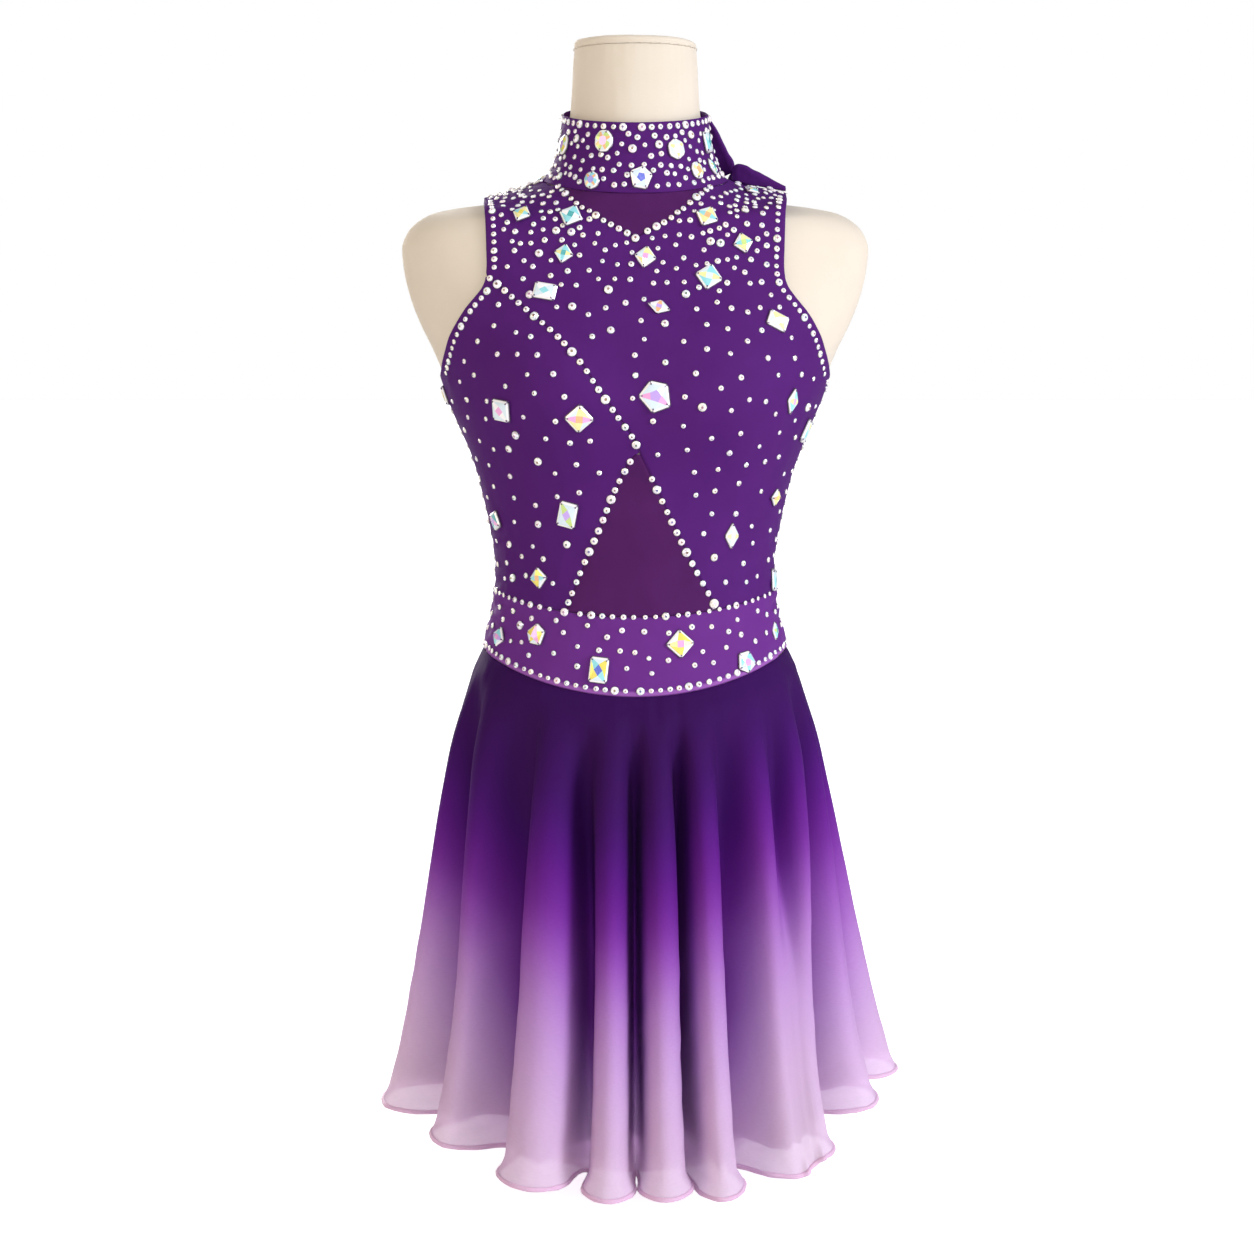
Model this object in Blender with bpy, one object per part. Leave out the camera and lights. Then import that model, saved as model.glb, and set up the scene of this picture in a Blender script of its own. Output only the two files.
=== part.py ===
"""Figure skating dress on a limbless dress form.

Metres, +Z up.  The origin is on the floor under the middle of the base plate,
and the front of the dress faces -Y.  The bodice panels are walls that follow
the form's surface at a small distance; the skirt is a fluted circle skirt in
two layers that hangs from the waistband.
"""
import math

import bpy
import numpy as np

for old in list(bpy.data.objects):
    bpy.data.objects.remove(old, do_unlink=True)

# ---------------------------------------------------------------- sizes (m)
SEAM_GAP = 0.0003          # between pieces that meet at a seam
CLOTH_GAP = 0.0016         # from the form to the inside of the bodice
BODICE_WALL = 0.0012       # power mesh, with its turnings
COLLAR_WALL = 0.0018       # collar band, folded double
SKIRT_WALL = 0.0012        # outer chiffon
UNDER_WALL = 0.0010        # under layer
UNDER_DROP = 0.0036        # from the outer layer in to the under layer
UNDER_SHORTER = 0.018      # how much the under layer ends above the hem

COLLAR_LOW, COLLAR_TOP = 0.7703, 0.8215      # ring heights at the side of the neck
NECKLINE = 0.7693
SHOULDER_END = 0.7515      # ring on whose side the shoulder seam ends
SIDE_SEAM_TOP = 0.6180
BODICE_LOW = 0.5000        # rows below this bend down to the waistband

BASE_RADIUS, BASE_HEIGHT, BASE_CHAMFER = 0.092, 0.008, 0.0015
POST_RADIUS, POST_TOP = 0.0125, 0.2797
CAP_RADIUS, CAP_LOW, CAP_TOP = 0.0478, 0.8715, 0.8780

# The dress form, one row for each ring.  z is the ring's height at its side,
# lean is how far its front lies below that, and power is the ring's
# superellipse power.
FORM_COLUMNS = ("z", "half_width", "front", "back", "lean", "power")
FORM = (
    (0.8712, 0.0474, 0.0462, 0.0480, 0.0000, 2.0),
    (0.8620, 0.0483, 0.0474, 0.0490, 0.0020, 2.0),
    (0.8450, 0.0492, 0.0492, 0.0506, 0.0060, 2.0),
    (0.8250, 0.0506, 0.0520, 0.0540, 0.0110, 2.0),
    (0.8060, 0.0535, 0.0540, 0.0585, 0.0124, 2.0),
    (0.7900, 0.0575, 0.0562, 0.0635, 0.0125, 2.0),
    (0.7780, 0.0625, 0.0580, 0.0675, 0.0125, 2.0),
    (0.7697, 0.0700, 0.0595, 0.0700, 0.0122, 2.0),
    (0.7640, 0.0820, 0.0606, 0.0715, 0.0112, 2.0),
    (0.7580, 0.0990, 0.0618, 0.0730, 0.0102, 2.05),
    (0.7515, 0.1180, 0.0630, 0.0745, 0.0090, 2.1),
    (0.7490, 0.1390, 0.0640, 0.0752, 0.0084, 2.1),
    (0.7455, 0.1575, 0.0652, 0.0760, 0.0076, 2.1),
    (0.7390, 0.1705, 0.0668, 0.0770, 0.0064, 2.1),
    (0.7300, 0.1790, 0.0690, 0.0785, 0.0048, 2.1),
    (0.7170, 0.1833, 0.0722, 0.0810, 0.0026, 2.1),
    (0.7000, 0.1817, 0.0768, 0.0842, 0.0008, 2.1),
    (0.6800, 0.1770, 0.0822, 0.0874, 0.0000, 2.1),
    (0.6600, 0.1695, 0.0870, 0.0895, 0.0000, 2.1),
    (0.6400, 0.1598, 0.0908, 0.0905, 0.0000, 2.1),
    (0.6200, 0.1514, 0.0930, 0.0902, 0.0000, 2.1),
    (0.6000, 0.1447, 0.0935, 0.0886, 0.0000, 2.1),
    (0.5800, 0.1364, 0.0918, 0.0860, 0.0000, 2.1),
    (0.5600, 0.1282, 0.0890, 0.0828, 0.0000, 2.1),
    (0.5400, 0.1214, 0.0867, 0.0790, 0.0000, 2.1),
    (0.5200, 0.1165, 0.0852, 0.0756, 0.0000, 2.1),
    (0.5000, 0.1122, 0.0843, 0.0730, 0.0000, 2.1),
    (0.4800, 0.1091, 0.0838, 0.0712, 0.0000, 2.1),
    (0.4650, 0.1082, 0.0837, 0.0707, 0.0000, 2.1),
    (0.4500, 0.1090, 0.0839, 0.0715, 0.0000, 2.1),
    (0.4350, 0.1109, 0.0845, 0.0740, 0.0000, 2.08),
    (0.4200, 0.1146, 0.0856, 0.0780, 0.0000, 2.06),
    (0.4050, 0.1180, 0.0870, 0.0825, 0.0000, 2.04),
    (0.3900, 0.1208, 0.0884, 0.0868, 0.0000, 2.02),
    (0.3700, 0.1232, 0.0898, 0.0910, 0.0000, 2.0),
    (0.3450, 0.1244, 0.0905, 0.0935, 0.0000, 2.0),
    (0.3200, 0.1240, 0.0900, 0.0935, 0.0000, 2.0),
    (0.3000, 0.1222, 0.0885, 0.0918, 0.0000, 2.0),
    (0.2880, 0.1190, 0.0855, 0.0888, 0.0000, 2.0),
    (0.2820, 0.1140, 0.0810, 0.0840, 0.0000, 2.0),
    (0.2800, 0.1080, 0.0755, 0.0785, 0.0000, 2.0),
)
# The bust cups: two soft mounds that the cloth bridges.
BUST = {"x": 0.070, "z": 0.603, "reach": 0.0200, "wide": 0.042, "high": 0.040}

# Seam lines on the front, from top to bottom, as ring height z and x.
LINE_COLUMNS = ("z", "x")
NECK_V_LEFT = ((0.7697, -0.0590), (0.7587, -0.0458), (0.7415, -0.0225), (0.7290, -0.0030), (0.7270, -0.0006))
NECK_V_RIGHT = ((0.7697, 0.0575), (0.7614, 0.0450), (0.7432, 0.0248), (0.7290, 0.0030), (0.7270, 0.0006))
DIAGONAL = ((0.6950, -0.1128), (0.6865, -0.1025), (0.6727, -0.0870), (0.6462, -0.0567), (0.6248, -0.0385),
            (0.6105, -0.0290), (0.5906, -0.0146), (0.5703, -0.0003), (0.5620, 0.0030))
TRIANGLE_LEFT = ((0.5620, 0.0010), (0.5593, -0.0020), (0.5350, -0.0147), (0.5048, -0.0265), (0.4760, -0.0386),
                 (0.4408, -0.0525), (0.4350, -0.0548))
TRIANGLE_RIGHT = ((0.5620, 0.0032), (0.5461, 0.0108), (0.5235, 0.0207), (0.4856, 0.0381), (0.4408, 0.0613),
                  (0.4350, 0.0643))
# Armholes: ring height z and distance x from the middle.
ARMHOLE_FRONT = ((0.7515, 0.1180), (0.7490, 0.1162), (0.7413, 0.1142), (0.7160, 0.1130), (0.7035, 0.1126),
                 (0.6930, 0.1134), (0.6860, 0.1158), (0.6798, 0.1203), (0.6688, 0.1296), (0.6578, 0.1368),
                 (0.6468, 0.1425), (0.6358, 0.1462), (0.6290, 0.1482), (0.6225, 0.1500), (0.6180, 0.1507))
ARMHOLE_BACK = ((0.7515, 0.1180), (0.7490, 0.1160), (0.7413, 0.1135), (0.7200, 0.1110), (0.7000, 0.1085),
                (0.6850, 0.1110), (0.6700, 0.1190), (0.6550, 0.1310), (0.6400, 0.1415), (0.6290, 0.1478),
                (0.6225, 0.1500), (0.6180, 0.1507))
# The middle of the wrap panel, where its two halves share a column of points.
WRAP_MIDDLE = ((0.7270, 0.0000), (0.6950, 0.0060), (0.6400, 0.0240), (0.5700, 0.0480), (0.5000, 0.0700),
               (0.4350, 0.0850))

# The waistband's edges and the skirt's hem: heights in front, at the side and
# behind.
EDGE_COLUMNS = ("front", "side", "back")
WAIST_TOP = (0.4354, 0.4500, 0.4460)
WAIST_LOW = (0.3745, 0.4030, 0.3960)
HEM = (0.0150, 0.0370, 0.0350)

# How far the skirt's folds stand out from the seam at the side of the body,
# by the share v of the way down.
FLARE_COLUMNS = ("v", "out")
FLARE = ((0.00, 0.0000), (0.05, 0.0086), (0.11, 0.0164), (0.20, 0.0266), (0.29, 0.0335), (0.38, 0.0402),
         (0.47, 0.0462), (0.56, 0.0522), (0.65, 0.0582), (0.74, 0.0645), (0.83, 0.0715), (0.92, 0.0790),
         (1.00, 0.0865))
FLARE_FRONT, FLARE_BACK = 1.22, 1.10       # shares of the side's flare

# The skirt's flutes, one row for each, round from the wearer's right back
# over the front.  Angles are in degrees from the middle of the front: the
# flute's and that of the valley after it, at the seam and at the hem.  Depth
# is that valley's at the hem; reach is how far the flute stands beyond the
# usual flare, and lift how far its hem is raised.  Falls and rises say how
# steep the valley's two sides are, and a valley that fades runs out on the
# way down.
FLUTE_COLUMNS = ("top", "hem", "next_top", "next_hem", "depth", "reach", "lift", "falls", "rises", "fade")
FLUTES = (
    (-112.0, -111.0, -96.0, -92.0, 0.058, -0.012, 0.008, 0.6, 0.6, 0.0),
    (-80.0, -73.0, -69.5, -59.0, 0.058, -0.002, 0.009, 0.2, 0.9, 0.0),
    (-58.0, -48.5, -37.0, -34.6, 0.060, -0.008, 0.006, 0.0, 1.0, 0.0),
    (-27.6, -24.0, -16.5, -12.9, 0.060, 0.004, 0.002, 0.7, 0.7, 0.0),
    (-7.6, -5.8, -0.6, 0.0, 0.066, 0.002, -0.001, 1.0, 0.7, 0.0),
    (7.4, 6.9, 13.6, 13.8, 0.066, 0.001, -0.001, 1.0, 0.7, 0.0),
    (20.5, 19.2, 29.0, 25.9, 0.056, 0.003, -0.003, 0.9, 0.0, 0.0),
    (41.5, 38.0, 52.5, 42.0, 0.042, -0.003, -0.004, 0.1, 0.2, 1.0),
    (62.5, 44.5, 70.0, 51.5, 0.060, 0.003, 0.007, 0.9, 0.2, 0.0),
    (80.0, 64.0, 88.0, 80.0, 0.056, -0.002, 0.019, 0.6, 0.6, 0.0),
    (98.0, 94.0, 110.0, 108.0, 0.062, 0.006, 0.019, 0.6, 0.6, 0.0),
    (121.0, 122.0, 133.0, 133.0, 0.064, 0.000, 0.002, 0.6, 0.4, 0.0),
    (145.0, 144.0, 155.0, 154.0, 0.060, 0.003, -0.002, 0.9, 0.3, 0.0),
    (166.0, 164.0, 176.0, 175.0, 0.064, -0.002, 0.002, 0.4, 0.9, 0.0),
    (187.0, 186.0, 198.0, 198.0, 0.062, 0.001, -0.001, 0.8, 0.5, 0.0),
    (210.0, 211.0, 222.0, 223.0, 0.064, 0.002, 0.001, 0.5, 0.8, 0.0),
    (232.0, 232.0, 241.0, 241.0, 0.062, 0.000, 0.002, 0.6, 0.6, 0.0),
)
FOLD_START = 0.03          # share of the skirt's length above which it is smooth
FOLD_WIDE = 0.95           # how much a steep side's flute is wider than its valley
FOLD_ROUND = 0.80          # rounds the bottoms of the valleys
VALLEY_CLEAR = 0.0075      # from the form to the outside of a valley
FLUTE_STEPS = (0.08, 0.25, 0.42, 0.58, 0.75, 0.92)      # shares of the way from a flute to the next
SKIRT_ROWS = (0.0, 0.05, 0.14, 0.32, 0.60, 1.0)
UNDER_ROWS = (0.05, 0.14, 0.32, 0.60)       # and its own hem
SIDE_SEAM_AFTER = (0, 9)   # the side seams lie on the way down from these flutes
SIDE_SEAM_STEP = 2

# The neck tie behind the wearer's left shoulder.  The strip's free edge, and
# the ring and the angle in degrees at which its other edge lies on the cloth.
STRIP_COLUMNS = ("x", "y", "z", "ring", "angle", "off")
TIE_STRIP = (
    (0.0572, 0.0250, 0.8222, 0.8120, 126.0, 0.0080),
    (0.0638, 0.0270, 0.8135, 0.8010, 124.0, 0.0078),
    (0.0696, 0.0290, 0.8020, 0.7890, 122.0, 0.0074),
    (0.0745, 0.0300, 0.7935, 0.7775, 122.0, 0.0062),
    (0.0780, 0.0310, 0.7868, 0.7685, 124.0, 0.0050),
    (0.0792, 0.0305, 0.7795, 0.7650, 126.0, 0.0042),
)
# How far the cloth stands up off the form at the outer end of each shoulder seam.
SHOULDER_LIFT = {"left": 0.0065, "right": 0.0030}
# The tie's folded end: the top of its fold, height and thickness.
END_COLUMNS = ("x", "y", "z", "high", "thick")
TIE_END = (
    (0.0770, 0.0235, 0.7818, 0.0088, 0.0034),
    (0.0825, 0.0218, 0.7848, 0.0142, 0.0062),
    (0.0900, 0.0205, 0.7825, 0.0136, 0.0076),
    (0.0990, 0.0190, 0.7775, 0.0100, 0.0080),
    (0.1090, 0.0165, 0.7722, 0.0065, 0.0068),
    (0.1186, 0.0130, 0.7670, 0.0032, 0.0036),
)
# The knot's middle and half sizes.
TIE_KNOT = {"middle": (0.0850, 0.0440, 0.7750), "half": (0.0105, 0.0080, 0.0075)}


# ------------------------------------------------------------ curve tools
def smooth_through(xs, ys):
    """A smooth curve through rows of values that never overshoots them."""
    xs = np.asarray(xs, float)
    ys = np.asarray(ys, float)
    if ys.ndim == 1:
        ys = ys[:, None]
    h = np.diff(xs)
    d = np.diff(ys, axis=0) / h[:, None]
    m = np.zeros_like(ys)
    m[0], m[-1] = d[0], d[-1]
    for i in range(1, len(xs) - 1):
        w1, w2 = 2 * h[i] + h[i - 1], h[i] + 2 * h[i - 1]
        same = d[i - 1] * d[i] > 0
        with np.errstate(divide="ignore", invalid="ignore"):
            mean = (w1 + w2) / (w1 / d[i - 1] + w2 / d[i])
        m[i] = np.where(same, mean, 0.0)

    def at(x):
        x = np.clip(np.asarray(x, float), xs[0], xs[-1])
        k = np.clip(np.searchsorted(xs, x, side="right") - 1, 0, len(xs) - 2)
        t = ((x - xs[k]) / h[k])[..., None]
        hk = h[k][..., None]
        t2, t3 = t * t, t * t * t
        out = ((2 * t3 - 3 * t2 + 1) * ys[k] + (t3 - 2 * t2 + t) * hk * m[k]
               + (-2 * t3 + 3 * t2) * ys[k + 1] + (t3 - t2) * hk * m[k + 1])
        return out[..., 0] if ys.shape[1] == 1 else out

    return at


def soft_step(t):
    t = np.clip(t, 0.0, 1.0)
    return t * t * (3 - 2 * t)


# --------------------------------------------------------- the form's shape
form_at = smooth_through(range(len(FORM)), FORM)
_levels = np.linspace(0, len(FORM) - 1, 4001)
_heights = form_at(_levels)[:, 0]


def level_of(z):
    """The place in the table of rings where the side of the body has this height."""
    return np.interp(-np.asarray(z, float), -_heights, _levels)


def form_point(level, angle):
    """A point on the form; the angle is 0 in front and 90 degrees on the wearer's left."""
    level, angle = np.broadcast_arrays(np.asarray(level, float), np.asarray(angle, float))
    z, a, front, back, lean, power = np.moveaxis(form_at(level), -1, 0)
    c, s = np.cos(angle), np.sin(angle)
    depth = np.where(c >= 0, front, back)
    turn = np.arctan2(a * s, depth * c)
    r = ((np.abs(np.sin(turn)) / a) ** power + (np.abs(np.cos(turn)) / depth) ** power) ** (-1 / power)
    x, y = r * np.sin(turn), -r * np.cos(turn)
    z = z - lean * c
    mound = sum(np.exp(-((x - side * BUST["x"]) / BUST["wide"]) ** 2 / 2
                       - ((z - BUST["z"]) / BUST["high"]) ** 2 / 2) for side in (-1, 1))
    y = y - BUST["reach"] * mound * soft_step(c / 0.5)
    return np.stack([x, y, z], axis=-1)


def form_normal(level, angle):
    e = 1e-4
    down = form_point(np.clip(level + e, 0, len(FORM) - 1), angle) - form_point(np.clip(level - e, 0, len(FORM) - 1), angle)
    along = form_point(level, angle + e) - form_point(level, angle - e)
    n = np.cross(down, along)
    return n / np.linalg.norm(n, axis=-1, keepdims=True)


def stood_up(points):
    """Cloth points with the outer ends of the shoulders standing up off the form."""
    x, z = points[..., 0], points[..., 2]
    high = np.where(x > 0, SHOULDER_LIFT["left"], SHOULDER_LIFT["right"])
    lift = high * soft_step((np.abs(x) - 0.078) / 0.040) * soft_step((z - 0.712) / 0.038)
    return points + np.stack([0 * x, 0 * x, lift], axis=-1)


def cloth_point(level, angle, out):
    """A point at a distance out from the form."""
    level, angle = np.broadcast_arrays(np.asarray(level, float), np.asarray(angle, float))
    return stood_up(form_point(level, angle) + form_normal(level, angle) * np.asarray(out)[..., None])


def angle_at_x(level, x, behind=False):
    """The angle at which a ring has this x."""
    low, high = (math.pi / 2, math.pi) if behind else (0.0, math.pi / 2)
    sign = -1.0 if x < 0 else 1.0
    for _ in range(44):
        mid = (low + high) / 2
        here = float(form_point(level, mid)[0])
        if (here < abs(x)) != behind:
            low = mid
        else:
            high = mid
    return sign * (low + high) / 2


def line_x(line, z):
    zs = [-row[0] for row in line]
    return float(smooth_through(zs, [row[1] for row in line])(-z))


# --------------------------------------------------------------- solids
def material(name, colour, roughness, metallic=0.0):
    mat = bpy.data.materials.new(name)
    mat.use_nodes = True
    shader = mat.node_tree.nodes["Principled BSDF"]
    shader.inputs["Base Color"].default_value = (*colour, 1.0)
    shader.inputs["Roughness"].default_value = roughness
    shader.inputs["Metallic"].default_value = metallic
    return mat


PURPLE = (0.075, 0.010, 0.130)


def add_object(name, verts, faces, mat, flat_angle=50.0):
    mesh = bpy.data.meshes.new(name)
    mesh.from_pydata([tuple(float(c) for c in v) for v in verts], [], faces)
    mesh.validate()
    mesh.shade_smooth()
    mesh.set_sharp_from_angle(angle=math.radians(flat_angle))
    mesh.materials.append(mat)
    ob = bpy.data.objects.new(name, mesh)
    bpy.context.scene.collection.objects.link(ob)
    return ob


def wall(name, outer, inner, faces, mat, crowned=True):
    """A closed wall between two matching sheets of points; its edges are found from the faces."""
    n = len(outer)
    faces = cut_quads(outer, faces, crowned)
    edges = {}
    for face in faces:
        for a, b in zip(face, face[1:] + face[:1]):
            edges[(a, b)] = True
    solid = [list(f) for f in faces]
    solid += [[i + n for i in reversed(f)] for f in faces]
    for a, b in edges:
        if (b, a) in edges:
            continue
        if outer[a][2] > outer[b][2]:
            solid += [[b, a, b + n], [a, a + n, b + n]]
        else:
            solid += [[b, a, a + n], [b, a + n, b + n]]
    return add_object(name, np.vstack([outer, inner]), solid, mat)


def sheet_of_rows(rows, closed=False):
    """Points and outward faces of a sheet given by rows from top to bottom, each row going to the wearer's left."""
    high, wide = len(rows), len(rows[0])
    points = [p for row in rows for p in row]
    faces = []
    for j in range(high - 1):
        for i in range(wide if closed else wide - 1):
            k = (i + 1) % wide
            faces.append([j * wide + i, (j + 1) * wide + i, (j + 1) * wide + k, j * wide + k])
    return points, faces


def cut_quads(points, faces, crowned=True):
    """Cuts each quad into triangles: along the diagonal that stands further out, or always the same one."""
    points = np.asarray(points, float)
    out = []
    for f in faces:
        if len(f) == 3:
            out.append(f)
            continue
        a, b, c, d = (points[i] for i in f)
        normal = np.cross(c - a, d - b)
        if crowned and np.dot(b + d - a - c, normal) > 0:
            out += [[f[0], f[1], f[3]], [f[1], f[2], f[3]]]
        else:
            out += [[f[0], f[1], f[2]], [f[0], f[2], f[3]]]
    return out


def bodice_panel(name, rows, mat, closed=False, extra=None):
    """A wall of cloth on the form from rows of (level, angle)."""
    points, faces = sheet_of_rows(rows, closed)
    if extra:
        points, faces = extra(points, faces)
    p = np.array(points, float)
    outer = cloth_point(p[:, 0], p[:, 1], CLOTH_GAP + BODICE_WALL)
    inner = cloth_point(p[:, 0], p[:, 1], CLOTH_GAP)
    return wall(name, outer, inner, faces, mat)


def edge_height(edge, angle):
    """The height of an edge that runs round the body."""
    front, side, back = edge
    c = np.cos(angle)
    return np.where(c >= 0, side + (front - side) * c * c, side + (back - side) * c * c)


# ---------------------------------------------------------- the dress form
def turned(name, profile, mat, steps=48, centre=(0.0, 0.0)):
    """A closed turned solid; the profile runs down its outer side as (radius, z)."""
    verts, faces = [], []
    for r, z in profile:
        for k in range(steps):
            t = 2 * math.pi * k / steps
            verts.append((centre[0] + r * math.sin(t), centre[1] - r * math.cos(t), z))
    rings = len(profile)
    for j in range(rings - 1):
        for k in range(steps):
            m = (k + 1) % steps
            faces.append([j * steps + k, (j + 1) * steps + k, (j + 1) * steps + m, j * steps + m])
    faces.append(list(range(steps)))
    faces.append([(rings - 1) * steps + k for k in reversed(range(steps))])
    return add_object(name, verts, faces, mat)


def build_form():
    cover = material("form_cover", (0.80, 0.72, 0.60), 0.9)
    paint = material("base_paint", (0.80, 0.80, 0.79), 0.45)
    steel = material("post_steel", (0.62, 0.62, 0.63), 0.3, 1.0)
    columns = 48
    levels = [0, 1.5, 3, 4, 5, 6, 7, 8, 9, 10, 11, 12, 13, 14, 15, 16, 17, 18, 19, 20, 21, 22, 23, 24, 25, 26, 27.5,
              29, 30.5, 32, 33, 34, 35.5, 37, 38, 39, 40]
    angles = [2 * math.pi * k / columns for k in range(columns)]
    rows = [[tuple(form_point(level, t)) for t in angles] for level in levels]
    points, faces = sheet_of_rows(rows, closed=True)
    last = (len(levels) - 1) * columns
    faces.append(list(range(columns)))
    faces.append([last + k for k in reversed(range(columns))])
    add_object("form_torso", points, faces, cover, 60.0)
    # The covered disc on top of the neck, with a soft edge.
    a, top = CAP_RADIUS, CAP_TOP
    turned("form_neck_cap", [(0.030, top + 0.0006), (a - 0.0065, top), (a - 0.0028, top - 0.0008),
                             (a - 0.0006, top - 0.0026), (a, CAP_LOW + 0.0016), (a - 0.0004, CAP_LOW)],
           cover, 48, (0.0, 0.0009))
    turned("form_post", [(POST_RADIUS, POST_TOP), (POST_RADIUS, BASE_HEIGHT + SEAM_GAP)], steel, 24)
    r, h, c = BASE_RADIUS, BASE_HEIGHT, BASE_CHAMFER
    turned("form_base", [(POST_RADIUS + 0.004, h), (r - c, h), (r, h - c), (r, c * 0.6), (r - c * 0.6, 0.0)], paint, 64)


# --------------------------------------------------------------- bodice
FRONT_ROWS = (NECKLINE, 0.7640, 0.7580, 0.7515, 0.7490, 0.7455, 0.7390, 0.7330, 0.7270, 0.7160, 0.7050, 0.6950, 0.6860,
              0.6760, 0.6650, 0.6530, 0.6400, 0.6290, 0.6225, 0.6180, 0.6020, 0.5860, 0.5720, 0.5620, 0.5420, 0.5210,
              0.5000)
V_APEX, DIAGONAL_TOP, TRIANGLE_TIP = 0.7270, 0.6950, 0.5620
BACK_SKIPS = (0.7330, 0.7160, 0.6950, 0.6760, 0.5860, 0.5620, 0.5210)
LOW_ROWS = (0.5, 1.0)      # shares of the way from BODICE_LOW to the waistband


def row_height(row, angle):
    """The height of a numbered row; the last ones bend down to the waistband's edge."""
    if row < len(FRONT_ROWS):
        return FRONT_ROWS[row]
    share = LOW_ROWS[row - len(FRONT_ROWS)]
    edge = float(edge_height(WAIST_TOP, angle)) + SEAM_GAP * 0.8
    return BODICE_LOW + (edge - BODICE_LOW) * share


ALL_ROWS = range(len(FRONT_ROWS) + len(LOW_ROWS))


def where_line_meets(row, line, shift=0.0):
    """The angle at which a seam line, moved sideways by shift, crosses a row."""
    angle = 0.0
    for _ in range(8):
        z = row_height(row, angle)
        x = line_x(line, z) + shift
        angle = angle_at_x(float(level_of(z)), x)
    return angle


def side_limit(row, armhole, behind=False):
    """The angle of a panel's outer edge: shoulder seam, armhole or side seam."""
    z = row_height(row, math.pi / 2)
    level = float(level_of(z))
    if z >= SHOULDER_END - 1e-9 or z <= SIDE_SEAM_TOP + 1e-9:
        speed = float(np.linalg.norm(form_point(level, math.pi / 2 + 1e-3) - form_point(level, math.pi / 2 - 1e-3))) / 2e-3
        gap = SEAM_GAP / 2 / speed
        return math.pi / 2 + (gap if behind else -gap)
    return angle_at_x(level, line_x(armhole, z), behind)


def spread(row, first, last, count):
    return [(float(level_of(row_height(row, first + (last - first) * i / count))), first + (last - first) * i / count)
            for i in range(count + 1)]


def build_front(mats):
    gap = SEAM_GAP * 0.62
    apex_row = FRONT_ROWS.index(V_APEX)
    tri_row = FRONT_ROWS.index(TRIANGLE_TIP)
    diag_row = FRONT_ROWS.index(DIAGONAL_TOP)

    # V insert under the collar.
    rows = [spread(r, where_line_meets(r, NECK_V_LEFT, gap), where_line_meets(r, NECK_V_RIGHT, -gap), 8)
            for r in range(apex_row)]
    level = float(level_of(V_APEX + 0.0016))
    rows.append([(level, angle_at_x(level, 0.0010) * (i / 4 - 1)) for i in range(9)])
    bodice_panel("front_neck_insert", rows, mats["mesh"])

    # Wrap panel: two halves that share a column of points below the V.
    left, right = [], []
    for r in ALL_ROWS:
        outer_right = side_limit(r, ARMHOLE_FRONT)
        if r < diag_row:
            outer_left = -side_limit(r, ARMHOLE_FRONT)
        elif r < tri_row:
            outer_left = where_line_meets(r, DIAGONAL, gap * 1.4)
        else:
            outer_left = where_line_meets(r, TRIANGLE_RIGHT, gap)
        if r < apex_row:
            inner_left = where_line_meets(r, NECK_V_LEFT, -gap * 1.5)
            inner_right = where_line_meets(r, NECK_V_RIGHT, gap * 1.5)
        else:
            inner_left = inner_right = where_line_meets(r, WRAP_MIDDLE)
        left.append(spread(r, outer_left, inner_left, 8))
        right.append(spread(r, inner_right, outer_right, 8))
    points, faces = sheet_of_rows(left)
    more, more_faces = sheet_of_rows(right)
    wide = 9
    index = []
    for k, point in enumerate(more):
        row, column = divmod(k, wide)
        if column == 0 and row >= apex_row:
            index.append(row * wide + wide - 1)
        else:
            index.append(len(points))
            points.append(point)
    faces += [[index[i] for i in f] for f in more_faces]
    p = np.array(points, float)
    wall("front_wrap_panel", cloth_point(p[:, 0], p[:, 1], CLOTH_GAP + BODICE_WALL),
         cloth_point(p[:, 0], p[:, 1], CLOTH_GAP), faces, mats["jersey"])

    # Side panel under the diagonal seam.
    rows = []
    for r in ALL_ROWS:
        if r <= diag_row:
            continue
        outer_left = -side_limit(r, ARMHOLE_FRONT)
        if r < tri_row:
            inner = where_line_meets(r, DIAGONAL, -gap * 1.4)
        else:
            inner = where_line_meets(r, TRIANGLE_LEFT, -gap)
        rows.append(spread(r, outer_left, inner, 8))
    bodice_panel("front_side_panel", rows, mats["jersey"])

    # Midriff triangle.
    rows = []
    for r in ALL_ROWS:
        if r < tri_row:
            continue
        first, last = where_line_meets(r, TRIANGLE_LEFT, gap), where_line_meets(r, TRIANGLE_RIGHT, -gap)
        if r == tri_row:
            # The tip lies a little below the row, between the straight edges of its neighbours.
            share = 0.22
            level = float(level_of(row_height(r, 0) + (row_height(r + 1, 0) - row_height(r, 0)) * share))
            first += (where_line_meets(r + 1, TRIANGLE_LEFT, gap) - first) * share + 0.003
            last += (where_line_meets(r + 1, TRIANGLE_RIGHT, -gap) - last) * share - 0.003
            rows.append([(level, first + (last - first) * i / 5) for i in range(6)])
            continue
        rows.append(spread(r, first, last, 5))
    bodice_panel("front_mesh_triangle", rows, mats["mesh"])


def build_back(mats):
    for name, side in (("back_left", 1), ("back_right", -1)):
        rows = []
        for r in ALL_ROWS:
            if r < len(FRONT_ROWS) and FRONT_ROWS[r] in BACK_SKIPS:
                continue
            z = row_height(r, math.pi)
            level = float(level_of(z))
            speed = float(form_at(level)[1])
            middle = math.pi - SEAM_GAP / 2 / speed
            edge = side_limit(r, ARMHOLE_BACK, True)
            if side > 0:
                rows.append(spread(r, edge, middle, 7))
            else:
                rows.append(spread(r, -middle, -edge, 7))
        bodice_panel(name, rows, mats["jersey"])


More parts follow.
